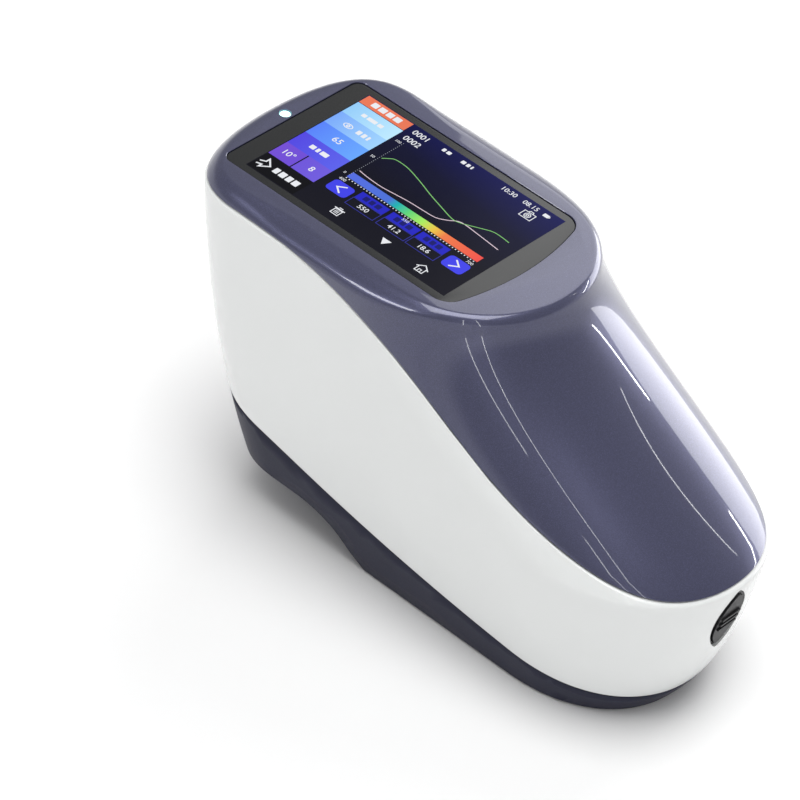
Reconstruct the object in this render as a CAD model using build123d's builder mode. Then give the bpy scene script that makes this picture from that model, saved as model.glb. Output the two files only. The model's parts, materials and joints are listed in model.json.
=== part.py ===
"""Hand-held colour spectrophotometer: casing, display, optics, battery and controls.

Frame: +X towards the low rounded nose, -X the tall display end, +Z up, millimetres.
The origin is at the middle of the box's underside, where the feet and the port ring rest.
"""

import os
from math import cos, radians, sin, sqrt

from build123d import *

os.makedirs("parts", exist_ok=True)

# Body
HEIGHT = 105.0
HALF_WIDTH = 38.5
TALL_END = -92.5
WALL = 2.0
TOP_EDGE_ROUND = 6.0
TIP_HEIGHT = 50.0
TIP_REACH = 92.5
TIP_ROUND = 0.8
DECK_END = 21.7
CORNER_LENGTH = 24.3
NOSE_FULLNESS = 0.60
CORNER_FULLNESS = 0.69
BODY_HEIGHTS = (0, 6, 13, 22, 32, 40, 45, 48, 50, 52, 55, 60, 67, 76, 86, 96, HEIGHT)

# Seams, seen from the side as (X, Z)
SEAM_GAP = 0.3
COVER_SEAM = ((-52, 100.8), (-34, 98.6), (-14, 92.1), (25.7, 70.8), (65.3, 55.1), (92, 50.4))
BASE_SEAM = ((-100, 40.5), (-63.5, 33.4), (-23.9, 23.2), (15.8, 15.0), (55.4, 10.2), (100, 8.2))
TONGUE_DEPTH = 2.5
TONGUE_OUT = 1.3

# Underside
BASE_BOTTOM = 0.6
BASE_FLOOR = 2.2
ARCH_TOP = 13.8
ARCH_CURVE = ((-38, ARCH_TOP), (-28.4, 12.0), (-22.4, 8.9), (-17, 3.8), (-12.5, BASE_BOTTOM))
FOOT_RADIUS = 4.5
FOOT_THICK = 1.4
FOOT_SPOTS = ((67, 12), (67, -12), (-4, 19), (-4, -19))

# Display
GLASS_TOP = 104.7
GLASS_THICK = 1.1
GLASS_BACK = -82.4
GLASS_FRONT = 1.2
GLASS_BOW = 4.5
GLASS_HALF = 27.4
GLASS_BACK_ROUND = 3.0
GLASS_FRONT_ROUND = 6.0
GLASS_GAP = 0.2
GASKET_THICK = 0.3
PANEL_BACK = -79.3
PANEL_FRONT = 0.0
PANEL_HALF = 26.0
PANEL_THICK = 2.6
LEDGE_LOW = 101.5
BRACKET_LOW = 97.6
BRACKET_HIGH = 98.8
BRACKET_SPOTS = ((-75, 31.3), (-75, -31.3), (-8, 31.3), (-8, -31.3))
STATUS_X = -84.8
STATUS_RADIUS = 1.7

# Optics
PORT_X = -46.0
SPHERE_HEIGHT = 24.0
SPHERE_INSIDE = 20.0
SPHERE_OUTSIDE = 22.5
SPHERE_BOTTOM = 3.0
PORT_HOLE = 5.5
RING_RADIUS = 13.0
RING_APERTURE = 4.0
FLANGE_RADIUS = 28.0
FLANGE_HALF = 23.4
FLANGE_THICK = 2.5
RING_THICK = 2.2
COLLAR_INSIDE = 11.05
COLLAR_OUTSIDE = 12.35
COLLAR_TOP = 5.0
BARREL_RADIUS = 5.0
LENS_RADIUS = 4.05
CAMERA_RADIUS = 2.5
LAMP_BORE = 4.5
LAMP_BOARD_AT = 30.0
CLAMP_OFFSET = 18.0
CLAMP_SPOTS = [(PORT_X + side * CLAMP_OFFSET, end * CLAMP_OFFSET) for side in (-1, 1) for end in (-1, 1)]
PLATE_LOW = 49.0
PLATE_HIGH = 51.5
VIEW_TILT = 8.0
LAMP_TILT = 25.0
CAMERA_TILT = 30.0
BOX_LOW = 56.0
BOX_HIGH = 76.0
BOX_BACK = -68.0
BOX_FRONT = -22.0
BOX_HALF = 16.0
BOX_WALL = 1.8
BOX_POSTS = [(x, y) for x in (BOX_BACK + 4, BOX_FRONT - 4) for y in (12, -12)]

# Screws: M2 in the pilots and clearance holes inside, M2.5 through the casing
SMALL_SHANK = 1.0
SMALL_PILOT = 1.02
SMALL_HOLE = 1.15
SMALL_HEAD = 1.9
SMALL_HEAD_HIGH = 1.4
CASE_SHANK = 1.25
CASE_PILOT = 1.27
CASE_HOLE = 1.45
CASE_HEAD = 2.2
CASE_HEAD_ROOM = 2.4
BOSS = 3.0
TINY_SHANK = 0.8
TINY_PILOT = 0.82
TINY_HOLE = 0.95
TINY_HEAD = 1.6
TINY_HEAD_HIGH = 1.2

# Boards, battery and door
BOARD_LOW = 42.0
BOARD_THICK = 1.6
BOARD_SPOTS = ((-4, 25), (-4, -25), (58, 25), (58, -25))
CASE_SPOTS_TALL = ((-42, 28.2), (-42, -28.2))
CASE_SPOTS_SIDE = ((30, 25.4), (30, -25.4))
CASE_SPOT_NOSE = (72.5, 0)
BATTERY = (46.0, 34.0, 20.0)
BATTERY_X = 31.0
BATTERY_LOW = 3.2
BAY_HIGH = 12.0
BAY_WALL = 1.2
DOOR_LENGTH = 62.0
DOOR_WIDTH = 32.0
DOOR_SPOTS = ((4, 0), (58, 0))

# Measure button
BUTTON_AT = (89.6, 0, 36.8)
BUTTON_TILT = 12.0
BUTTON_TALL = 22.0
BUTTON_WIDE = 9.6
BUTTON_PROUD = 0.6
BUTTON_THICK = 4.4
BUTTON_GAP = 0.36
BEZEL_RIM = 0.8
BEZEL_DEPTH = 3.4
KEEPER_THICK = 0.8
RIB_PITCH = 2.2
STEM_END = -6.6
PLUNGER_TOP = -7.7
BUTTON_BOARD_FRONT = -10.2
BUTTON_BOARD_SPOTS = ((10.4, 0), (-10.4, 0))

# Connector panel on the +Y side
PANEL_MID_X = 26.0
PANEL_MID_Z = 29.0
PANEL_FACE_Y = 32.4
PANEL_WINDOW = (44.0, 12.0)
SIDE_BOARD_Y = 19.4
SIDE_BOARD_THICK = 1.2
SWITCH_X = 10.0
SWITCH_TRAVEL = 3.0
CHARGE_X = 26.0
DATA_X = 41.0


def nose_x(height):
    """X of the nose on the centre line: undercut below the tip, a long slope above it."""
    drop = (TIP_HEIGHT - height) / TIP_HEIGHT
    below = TIP_REACH - 8 * drop - 7 * drop**4
    if height < 30:
        return below
    rise = (height - TIP_HEIGHT) / (HEIGHT - TIP_HEIGHT)
    above = TIP_REACH - 80.2 * rise - 47.5 * rise**2 + 56.6 * rise**3
    return (below + above) / 2 - sqrt(((above - below) / 2) ** 2 + TIP_ROUND**2)


def back_x(height):
    """X of the tall end on the centre line, leaning in towards the base."""
    return TALL_END + 26 * (1 - height / HEIGHT) ** 1.4


def half_width(height):
    """Half of the body's width, drawn in towards the base."""
    return HALF_WIDTH - 8.6 * max(1 - height / 75, 0) ** 2.2


def nose_length(height):
    """Length of the rounded nose in plan."""
    return 48.5 - 13.5 * (1 - height / HEIGHT) ** 4


def plan_outline(height, inset):
    """The body's outline in plan at one height, moved in by a wall."""
    level = min(max(height, inset), HEIGHT - inset)
    slope = (nose_x(level + 0.1) - nose_x(level - 0.1)) / 0.2 if inset else 0
    nose = nose_x(level) - inset * sqrt(1 + slope**2)
    back = back_x(level) + inset
    width = half_width(level) - inset
    front_start = nose - nose_length(level) + inset
    back_start = back + CORNER_LENGTH - inset
    nose_pull = NOSE_FULLNESS * (nose - front_start)
    corner_pull = CORNER_FULLNESS * (back_start - back)
    with BuildSketch(Plane.XY.offset(level)) as outline:
        with BuildLine():
            for side in (1, -1):
                edge = side * width
                nose_pulls = (nose, NOSE_FULLNESS * edge), (front_start + nose_pull, edge)
                Bezier((nose, 0), *nose_pulls, (front_start, edge))
                Line((front_start, edge), (back_start, edge))
                corner_pulls = (back_start - corner_pull, edge), (back, CORNER_FULLNESS * edge)
                Bezier((back_start, edge), *corner_pulls, (back, 0))
        make_face()
    return outline.sketch


def body_blank(inset):
    """The whole body as one solid, moved in by a wall, with its rounded top edge."""
    with BuildPart() as blank:
        loft([plan_outline(height, inset) for height in BODY_HEIGHTS])
        fillet(blank.faces().sort_by(Axis.Z)[-1].edges(), radius=TOP_EDGE_ROUND - inset)
    return blank.part


def side_region(points, shift, far_z):
    """A slab across the body between a side-view curve and a level far above or below it."""
    with BuildSketch(Plane.XZ) as region:
        with BuildLine():
            shifted = [(x, z + shift) for x, z in points]
            start, end = shifted[0], shifted[-1]
            Spline(*shifted, tangents=((1, 0), (1, 0)))
            Line(end, (110, end[1]))
            Line((110, end[1]), (110, far_z))
            Line((110, far_z), (-110, far_z))
            Line((-110, far_z), (-110, start[1]))
            Line((-110, start[1]), start)
        make_face()
    with BuildPart() as slab:
        extrude(region.sketch, amount=60, both=True)
    return slab.part


def base_region(shift, far_z):
    """The slab below or above the curve where side shell and base tray meet."""
    with BuildSketch(Plane.XZ) as region:
        with BuildLine():
            shifted = [(x, z + shift) for x, z in BASE_SEAM]
            start, end = shifted[0], shifted[-1]
            Spline(*shifted)
            Line(end, (end[0], far_z))
            Line((end[0], far_z), (start[0], far_z))
            Line((start[0], far_z), start)
        make_face()
    with BuildPart() as slab:
        extrude(region.sketch, amount=60, both=True)
    return slab.part


def underside_region(rise):
    """Everything below the base's underside: flat under the nose, arched under the tall end."""
    with BuildSketch(Plane.XZ) as region:
        with BuildLine():
            curve = [(x, z + rise) for x, z in ARCH_CURVE]
            start, end = curve[0], curve[-1]
            Line((-110, start[1]), start)
            Spline(*curve, tangents=((1, 0), (1, -0.75)))
            Line(end, (110, end[1]))
            Line((110, end[1]), (110, -20))
            Line((110, -20), (-110, -20))
            Line((-110, -20), (-110, start[1]))
        make_face()
    with BuildPart() as slab:
        extrude(region.sketch, amount=60, both=True)
    return slab.part


def posts(spots, low, high, radius, mode=Mode.ADD):
    """Upright round posts or holes at a list of places."""
    with BuildSketch(Plane.XY.offset(low)) as rounds:
        with Locations(*spots):
            Circle(radius)
    extrude(rounds.sketch, amount=high - low, mode=mode)


def block(low_corner, high_corner, mode=Mode.ADD):
    """A box between two opposite corners."""
    size = [high - low for low, high in zip(low_corner, high_corner)]
    with Locations(tuple(low_corner)):
        Box(*size, align=(Align.MIN, Align.MIN, Align.MIN), mode=mode)


def screws(spots, head_low, head_high, head_radius, tip, shank_radius):
    """A group of cross-head screws; the tip lies above or below the head."""
    with BuildPart() as group:
        posts(spots, head_low, head_high, head_radius)
        shank_low, shank_high = (tip, head_low) if tip < head_low else (head_high, tip)
        posts(spots, shank_low, shank_high, shank_radius)
        outer = head_high if tip < head_low else head_low
        inner = outer - 0.6 if tip < head_low else outer + 0.6
        with BuildSketch(Plane.XY.offset(min(outer, inner))) as cross:
            with Locations(*spots):
                Rectangle(head_radius * 1.2, head_radius * 0.3)
                Rectangle(head_radius * 0.3, head_radius * 1.2)
        extrude(cross.sketch, amount=0.6, mode=Mode.SUBTRACT)
    return group


def glass_outline(grow):
    """Display glass in plan: straight tall end and sides, bowed front edge, rounded corners."""
    back, front, half = GLASS_BACK - grow, GLASS_FRONT + grow, GLASS_HALF + grow
    with BuildSketch() as outline:
        with BuildLine():
            Line((back, -half), (front, -half))
            ThreePointArc((front, -half), (front + GLASS_BOW, 0), (front, half))
            Line((front, half), (back, half))
            Line((back, half), (back, -half))
        make_face()
        ends = outline.vertices().group_by(Axis.X)
        fillet(ends[0], GLASS_BACK_ROUND + grow)
        fillet(ends[-1], GLASS_FRONT_ROUND + grow)
    return outline.sketch


def slab_of(face, low, high, mode=Mode.ADD):
    """A plan outline drawn at the origin, raised into a plate between two heights."""
    extrude(face.moved(Location((0, 0, low))), amount=high - low, dir=(0, 0, 1), mode=mode)


def pointed_oval(tall, wide, tip_round):
    """Two equal arcs that meet in rounded points above and below."""
    with BuildSketch() as oval:
        with BuildLine():
            ThreePointArc((0, -tall / 2), (wide / 2, 0), (0, tall / 2))
            ThreePointArc((0, tall / 2), (-wide / 2, 0), (0, -tall / 2))
        make_face()
        fillet(oval.vertices(), tip_round)
    return oval.sketch


def panel_plane(x, y):
    """A plane across Y at the connector panel's middle height."""
    return Plane(origin=(x, y, PANEL_MID_Z), x_dir=(1, 0, 0), z_dir=(0, 1, 0))


def rounded_slot(x, wide, tall, near_y, far_y, mode=Mode.ADD):
    """A rounded bar or slot across Y at the connector panel's middle height."""
    with BuildSketch(panel_plane(x, near_y)) as slot:
        RectangleRounded(wide, tall, min(wide, tall) * 0.3)
    extrude(slot.sketch, amount=far_y - near_y, mode=mode)


def tilted_plane(origin, tilt):
    """A plane whose normal leans from +Z towards +X by an angle in degrees."""
    return Plane(origin=origin, x_dir=(0, 1, 0), z_dir=(sin(radians(tilt)), 0, cos(radians(tilt))))


def rod(plane, low, high, radius, mode=Mode.ADD, spots=((0, 0),)):
    """Round rods or holes along a plane's normal, between two distances from it."""
    with BuildSketch(plane.offset(low)) as end:
        with Locations(*spots):
            Circle(radius)
    extrude(end.sketch, amount=high - low, mode=mode)


def plate(plane, low, high, wide, tall, corner, mode=Mode.ADD):
    """A rounded plate along a plane's normal, between two distances from it."""
    with BuildSketch(plane.offset(low)) as outline:
        RectangleRounded(wide, tall, corner)
    extrude(outline.sketch, amount=high - low, mode=mode)


# Casing shells
outer_blank = body_blank(0)
inner_blank = body_blank(WALL)
tongue_blank = body_blank(TONGUE_OUT)
rebate_blank = body_blank(TONGUE_OUT - 0.1)

button_plane = Plane(
    origin=BUTTON_AT, x_dir=(0, 1, 0), z_dir=(cos(radians(BUTTON_TILT)), 0, -sin(radians(BUTTON_TILT)))
)
button_face = pointed_oval(BUTTON_TALL, BUTTON_WIDE, 1.2)
bezel_inner = pointed_oval(BUTTON_TALL + 2 * BUTTON_GAP, BUTTON_WIDE + 2 * BUTTON_GAP, 1.25)
bezel_rim = 2 * (BUTTON_GAP + BEZEL_RIM)
bezel_outer = pointed_oval(BUTTON_TALL + bezel_rim, BUTTON_WIDE + bezel_rim, 1.5)
button_opening = pointed_oval(BUTTON_TALL + bezel_rim + 0.2, BUTTON_WIDE + bezel_rim + 0.2, 1.6)
glass_seat = glass_outline(GLASS_GAP)
panel_room = (
    (PANEL_BACK - 0.4, -PANEL_HALF - 0.4, 90),
    (PANEL_FRONT + 0.4, PANEL_HALF + 0.4, 110),
)
port_axis = Axis((PORT_X, 0, 0), (0, 0, 1))
port_section = Plane(origin=(PORT_X, 0, 0), x_dir=(1, 0, 0), z_dir=(0, -1, 0))
port_plane = Plane(origin=(PORT_X, 0, 0))
view_plane = tilted_plane((PORT_X, 0, 0), VIEW_TILT)
camera_plane = tilted_plane((PORT_X, 0, 0), -CAMERA_TILT)
lamp_plane = tilted_plane((PORT_X, 0, SPHERE_HEIGHT), 90 - LAMP_TILT)

# The hollow inside the top cover keeps a thicker rim round the display glass.
with BuildPart() as cover_hollow:
    add(inner_blank)
    slab_of(glass_outline(2.4), LEDGE_LOW, HEIGHT, Mode.SUBTRACT)

# A tongue below each seam plugs into the side shell.
with BuildPart() as cover_tongue:
    add(tongue_blank)
    add(side_region(COVER_SEAM, -TONGUE_DEPTH, 200), mode=Mode.INTERSECT)
    add(side_region(COVER_SEAM, SEAM_GAP, -50), mode=Mode.INTERSECT)
    add(inner_blank, mode=Mode.SUBTRACT)
    block((80, -9, 40), (100, 9, 60), Mode.SUBTRACT)

with BuildPart() as base_tongue:
    add(tongue_blank)
    add(base_region(TONGUE_DEPTH, -50), mode=Mode.INTERSECT)
    add(base_region(-SEAM_GAP, 200), mode=Mode.INTERSECT)
    add(inner_blank, mode=Mode.SUBTRACT)

with BuildPart() as cover_rebate:
    add(rebate_blank)
    add(side_region(COVER_SEAM, -TONGUE_DEPTH - 0.2, 200), mode=Mode.INTERSECT)

with BuildPart() as base_rebate:
    add(rebate_blank)
    add(base_region(TONGUE_DEPTH + 0.2, -50), mode=Mode.INTERSECT)

with BuildPart() as top_cover:
    add(outer_blank)
    add(side_region(COVER_SEAM, SEAM_GAP / 2, 200), mode=Mode.INTERSECT)
    add(cover_hollow.part, mode=Mode.SUBTRACT)
    add(cover_tongue.part)
    posts(BRACKET_SPOTS, BRACKET_HIGH, 103.4, 2.2)
    slab_of(glass_seat, GLASS_TOP - GLASS_THICK - GASKET_THICK, HEIGHT + 1, Mode.SUBTRACT)
    block(*panel_room, Mode.SUBTRACT)
    posts(BRACKET_SPOTS, BRACKET_HIGH, BRACKET_HIGH + 3.2, SMALL_PILOT, Mode.SUBTRACT)
    posts([(STATUS_X, 0)], 95, 110, STATUS_RADIUS + 0.1, Mode.SUBTRACT)
top_cover.part.label = "top_cover"
export_step(top_cover.part, "parts/top_cover.step")

# Bosses inside the side shell, each on a web that reaches its wall.
with BuildPart() as shell_bosses:
    posts(CASE_SPOTS_TALL, 28.6, 38, BOSS)
    posts(CASE_SPOTS_SIDE, 14.0, 22, BOSS)
    posts([CASE_SPOT_NOSE], 9.6, 19, BOSS)
    for side in (1, -1):
        for (x, y), low, high in ((CASE_SPOTS_TALL[0], 31.6, 38), (CASE_SPOTS_SIDE[0], 16, 22)):
            block((x - 1, min(side * y, side * 40), low), (x + 1, max(side * y, side * 40), high))
    block((CASE_SPOT_NOSE[0], -1, 12), (95, 1, 19))
    rod(button_plane, BUTTON_BOARD_FRONT, 2, 2.2, spots=BUTTON_BOARD_SPOTS)
    add(tongue_blank, mode=Mode.INTERSECT)

with BuildPart() as side_shell:
    add(outer_blank)
    add(side_region(COVER_SEAM, -SEAM_GAP / 2, -50), mode=Mode.INTERSECT)
    add(base_region(SEAM_GAP / 2, 200), mode=Mode.INTERSECT)
    add(inner_blank, mode=Mode.SUBTRACT)
    add(cover_rebate.part, mode=Mode.SUBTRACT)
    add(base_rebate.part, mode=Mode.SUBTRACT)
    add(shell_bosses.part)
    posts(CASE_SPOTS_TALL, 28, 36, CASE_PILOT, Mode.SUBTRACT)
    posts(CASE_SPOTS_SIDE, 13, 20, CASE_PILOT, Mode.SUBTRACT)
    posts([CASE_SPOT_NOSE], 9, 17, CASE_PILOT, Mode.SUBTRACT)
    rod(button_plane, BUTTON_BOARD_FRONT, -5, TINY_PILOT, Mode.SUBTRACT, BUTTON_BOARD_SPOTS)
    rounded_slot(PANEL_MID_X, *PANEL_WINDOW, 30, 45, Mode.SUBTRACT)
    extrude(button_plane.location * button_opening, amount=8, both=True, mode=Mode.SUBTRACT)
side_shell.part.label = "side_shell"
export_step(side_shell.part, "parts/side_shell.step")

# The port boss is a hollow cone that reaches down to the measured surface.
with BuildPart() as base_solid:
    add(outer_blank)
    add(base_region(-SEAM_GAP / 2, -50), mode=Mode.INTERSECT)
    add(underside_region(0), mode=Mode.SUBTRACT)

with BuildPart() as base_inside:
    add(inner_blank)
    add(underside_region(BASE_FLOOR), mode=Mode.SUBTRACT)

with BuildPart() as port_boss:
    with BuildSketch(port_section) as boss_section:
        Polygon((13.3, 0.6), (15.6, 0.6), (26.0, 14.2), (24.6, 16.0), (13.3, 3.0), align=None)
    revolve(boss_section.sketch, axis=port_axis)
    add(outer_blank, mode=Mode.INTERSECT)

# Case screw bosses: places, foot of the boss, depth of the head's pocket, top of the boss
CASE_BOSSES = (
    (CASE_SPOTS_TALL, 14.5, 18.0, 28.3),
    (CASE_SPOTS_SIDE, 1.2, 3.0, 13.7),
    ([CASE_SPOT_NOSE], 1.2, 2.0, 9.3),
)


def bay_corners(wall, low, high):
    """Opposite corners of the battery bay, outside its walls or inside them."""
    half_x, half_y = BATTERY[0] / 2 + 0.4 + wall, BATTERY[1] / 2 + 0.4 + wall
    return (BATTERY_X - half_x, -half_y, low), (BATTERY_X + half_x, half_y, high)


with BuildPart() as base_tray:
    add(base_solid.part)
    add(base_inside.part, mode=Mode.SUBTRACT)
    add(base_tongue.part)
    rod(port_plane, 5, 17, 24.0, Mode.SUBTRACT)
    add(port_boss.part)
    posts(CLAMP_SPOTS, 13.9, SPHERE_HEIGHT - FLANGE_THICK, 2.5)
    posts(CLAMP_SPOTS, 15.5, SPHERE_HEIGHT, SMALL_PILOT, Mode.SUBTRACT)
    posts(BOARD_SPOTS, 1.2, BOARD_LOW, BOSS)
    posts(BOARD_SPOTS, BOARD_LOW - 8, BOARD_LOW, SMALL_PILOT, Mode.SUBTRACT)
    for spots, low, head_room, high in CASE_BOSSES:
        posts(spots, low, high, BOSS)
        posts(spots, 0, head_room, CASE_HEAD_ROOM, Mode.SUBTRACT)
        posts(spots, head_room, high, CASE_HOLE, Mode.SUBTRACT)
    posts(DOOR_SPOTS, 2.5, 7, 2.4)
    posts(DOOR_SPOTS, 1, 6, SMALL_PILOT, Mode.SUBTRACT)
    block(*bay_corners(BAY_WALL, 2, BAY_HIGH))
    block(*bay_corners(0, BASE_BOTTOM + BASE_FLOOR, BAY_HIGH), Mode.SUBTRACT)
    posts(FOOT_SPOTS, 0, FOOT_THICK, FOOT_RADIUS + 0.05, Mode.SUBTRACT)
    block((0, -DOOR_WIDTH / 2, 0), (DOOR_LENGTH, DOOR_WIDTH / 2, 1.75), Mode.SUBTRACT)
    block((8, -14, 0), (54, 14, 5), Mode.SUBTRACT)
base_tray.part.label = "base_tray"
export_step(base_tray.part, "parts/base_tray.step")

with BuildPart() as rubber_feet:
    posts(FOOT_SPOTS, 0, FOOT_THICK, FOOT_RADIUS)
    fillet(rubber_feet.faces().group_by(Axis.Z)[0].edges(), 0.4)
rubber_feet.part.label = "rubber_feet"
export_step(rubber_feet.part, "parts/rubber_feet.step")

with BuildPart() as battery_door:
    block((0.3, -DOOR_WIDTH / 2 + 0.3, BASE_BOTTOM), (DOOR_LENGTH - 0.3, DOOR_WIDTH / 2 - 0.3, 1.65))
    block((8.3, -13.7, 1.65), (53.7, 13.7, 2.7))
    fillet(battery_door.edges().filter_by(Axis.Z).group_by(Axis.X)[0], 1.0)
    posts(DOOR_SPOTS, 0, 3, 1.2, Mode.SUBTRACT)
    posts(DOOR_SPOTS, 0, BASE_BOTTOM + 0.45, 2.1, Mode.SUBTRACT)
    with BuildSketch(Plane.XY) as grip_lines:
        with GridLocations(2.4, 0, 5, 1):
            with Locations((48, 0)):
                Rectangle(0.9, 16)
    extrude(grip_lines.sketch, amount=BASE_BOTTOM + 0.35, mode=Mode.SUBTRACT)
battery_door.part.label = "battery_door"
export_step(battery_door.part, "parts/battery_door.step")

# Flat heads sit in shallow seats in the door and hold it to the tray.
door_screws = screws(DOOR_SPOTS, 0.55, 1.05, 2.0, 5.5, SMALL_SHANK)
door_screws.part.label = "door_screws"
export_step(door_screws.part, "parts/door_screws.step")

with BuildPart() as case_screws:
    add(screws(CASE_SPOTS_TALL, 16.2, 17.95, CASE_HEAD, 34, CASE_SHANK).part)
    add(screws(CASE_SPOTS_SIDE, 1.6, 2.95, CASE_HEAD, 18.5, CASE_SHANK).part)
    add(screws([CASE_SPOT_NOSE], 0.9, 1.95, CASE_HEAD, 15.5, CASE_SHANK).part)
case_screws.part.label = "case_screws"
export_step(case_screws.part, "parts/case_screws.step")

with BuildPart() as battery_pack:
    with Locations((BATTERY_X, 0, BATTERY_LOW)):
        Box(*BATTERY, align=(Align.CENTER, Align.CENTER, Align.MIN))
    fillet(battery_pack.edges().filter_by(Axis.X), 4.0)
battery_pack.part.label = "battery_pack"
export_step(battery_pack.part, "parts/battery_pack.step")

# Display stack
with BuildPart() as display_glass:
    slab_of(glass_outline(0), GLASS_TOP - GLASS_THICK, GLASS_TOP)
    chamfer(display_glass.faces().sort_by(Axis.Z)[-1].edges(), 0.2)
display_glass.part.label = "display_glass"
export_step(display_glass.part, "parts/display_glass.step")

with BuildPart() as display_gasket:
    slab_of(glass_outline(-0.1), GLASS_TOP - GLASS_THICK - GASKET_THICK, GLASS_TOP - GLASS_THICK)
    block(*panel_room, Mode.SUBTRACT)
display_gasket.part.label = "display_gasket"
export_step(display_gasket.part, "parts/display_gasket.step")

with BuildPart() as lcd_panel:
    block(
        (PANEL_BACK, -PANEL_HALF, GLASS_TOP - GLASS_THICK - PANEL_THICK),
        (PANEL_FRONT, PANEL_HALF, GLASS_TOP - GLASS_THICK),
    )
lcd_panel.part.label = "lcd_panel"
export_step(lcd_panel.part, "parts/lcd_panel.step")

with BuildPart() as backlight:
    block(
        (PANEL_BACK + 1, -PANEL_HALF + 0.5, BRACKET_HIGH),
        (PANEL_FRONT - 1, PANEL_HALF - 0.5, GLASS_TOP - GLASS_THICK - PANEL_THICK),
    )
backlight.part.label = "backlight"
export_step(backlight.part, "parts/backlight.step")

with BuildPart() as display_bracket:
    block((-80, -33.3, BRACKET_LOW), (-1, 33.3, BRACKET_HIGH))
    fillet(display_bracket.edges().filter_by(Axis.Z), 5.0)
    block((-88.4, -4, BRACKET_LOW), (-80, 4, BRACKET_HIGH))
    block((-66, -20, 90), (-16, 20, 110), Mode.SUBTRACT)
    posts(BRACKET_SPOTS, 90, 110, SMALL_HOLE, Mode.SUBTRACT)
display_bracket.part.label = "display_bracket"
export_step(display_bracket.part, "parts/display_bracket.step")

display_screws = screws(
    BRACKET_SPOTS, BRACKET_LOW - SMALL_HEAD_HIGH, BRACKET_LOW, SMALL_HEAD, BRACKET_HIGH + 2.8, SMALL_SHANK
)
display_screws.part.label = "display_screws"
export_step(display_screws.part, "parts/display_screws.step")

with BuildPart() as status_led_board:
    block((-88.2, -4, BRACKET_HIGH), (-82.2, 4, BRACKET_HIGH + 0.9))
    block((STATUS_X - 0.8, -0.8, BRACKET_HIGH + 0.9), (STATUS_X + 0.8, 0.8, BRACKET_HIGH + 1.5))
status_led_board.part.label = "status_led_board"
export_step(status_led_board.part, "parts/status_led_board.step")

with BuildPart() as status_light_pipe:
    posts([(STATUS_X, 0)], 100.5, 104.9, STATUS_RADIUS)
    posts([(STATUS_X, 0)], 100.5, 101.4, STATUS_RADIUS + 0.6)
    fillet(status_light_pipe.faces().sort_by(Axis.Z)[-1].edges(), 0.7)
status_light_pipe.part.label = "status_light_pipe"
export_step(status_light_pipe.part, "parts/status_light_pipe.step")

with BuildPart() as display_flex:
    with BuildSketch(Plane.XZ) as ribbon:
        with BuildLine():
            FilletPolyline((0.2, 100.4), (3.6, 100.4), (3.6, 62), (-2.6, 52), (-2.6, 45.4), radius=1.5)
        trace(line_width=0.25)
    extrude(ribbon.sketch, amount=9, both=True)
display_flex.part.label = "display_flex"
export_step(display_flex.part, "parts/display_flex.step")

# Main board and what stands on it
with BuildPart() as main_board:
    block((-8, -28, BOARD_LOW), (62, 28, BOARD_LOW + BOARD_THICK))
    fillet(main_board.edges().filter_by(Axis.Z), 2.0)
    posts(BOARD_SPOTS, 40, 50, SMALL_HOLE, Mode.SUBTRACT)
main_board.part.label = "main_board"
export_step(main_board.part, "parts/main_board.step")

board_top = BOARD_LOW + BOARD_THICK
board_screws = screws(
    BOARD_SPOTS, board_top, board_top + SMALL_HEAD_HIGH, SMALL_HEAD, BOARD_LOW - 6, SMALL_SHANK
)
board_screws.part.label = "board_screws"
export_step(board_screws.part, "parts/board_screws.step")

with BuildPart() as flex_connector:
    block((-5.2, -10, board_top), (-0.2, 10, board_top + 1.7))
flex_connector.part.label = "flex_connector"
export_step(flex_connector.part, "parts/flex_connector.step")

with BuildPart() as processor:
    block((14, -8, board_top), (30, 8, board_top + 1.3))
    chamfer(processor.faces().sort_by(Axis.Z)[-1].edges(), 0.2)
processor.part.label = "processor"
export_step(processor.part, "parts/processor.step")

with BuildPart() as shield_can:
    block((36, -12, board_top), (54, 8, board_top + 2.6))
    fillet(shield_can.edges().filter_by(Axis.Z), 0.8)
shield_can.part.label = "shield_can"
export_step(shield_can.part, "parts/shield_can.step")

with BuildPart() as buzzer:
    posts([(42, 17)], board_top, board_top + 5.0, 4.5)
    posts([(42, 17)], board_top + 4.2, board_top + 6.0, 1.0, Mode.SUBTRACT)
buzzer.part.label = "buzzer"
export_step(buzzer.part, "parts/buzzer.step")

# Optics: a hollow white sphere over the port, split at its middle
flange_low = SPHERE_HEIGHT - FLANGE_THICK
flange_high = SPHERE_HEIGHT + FLANGE_THICK
# The flange is cut short on three sides to stay inside the casing.
flange_trim = ((PORT_X - FLANGE_HALF, -FLANGE_HALF, -10), (PORT_X + 40, FLANGE_HALF, 60))

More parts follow.
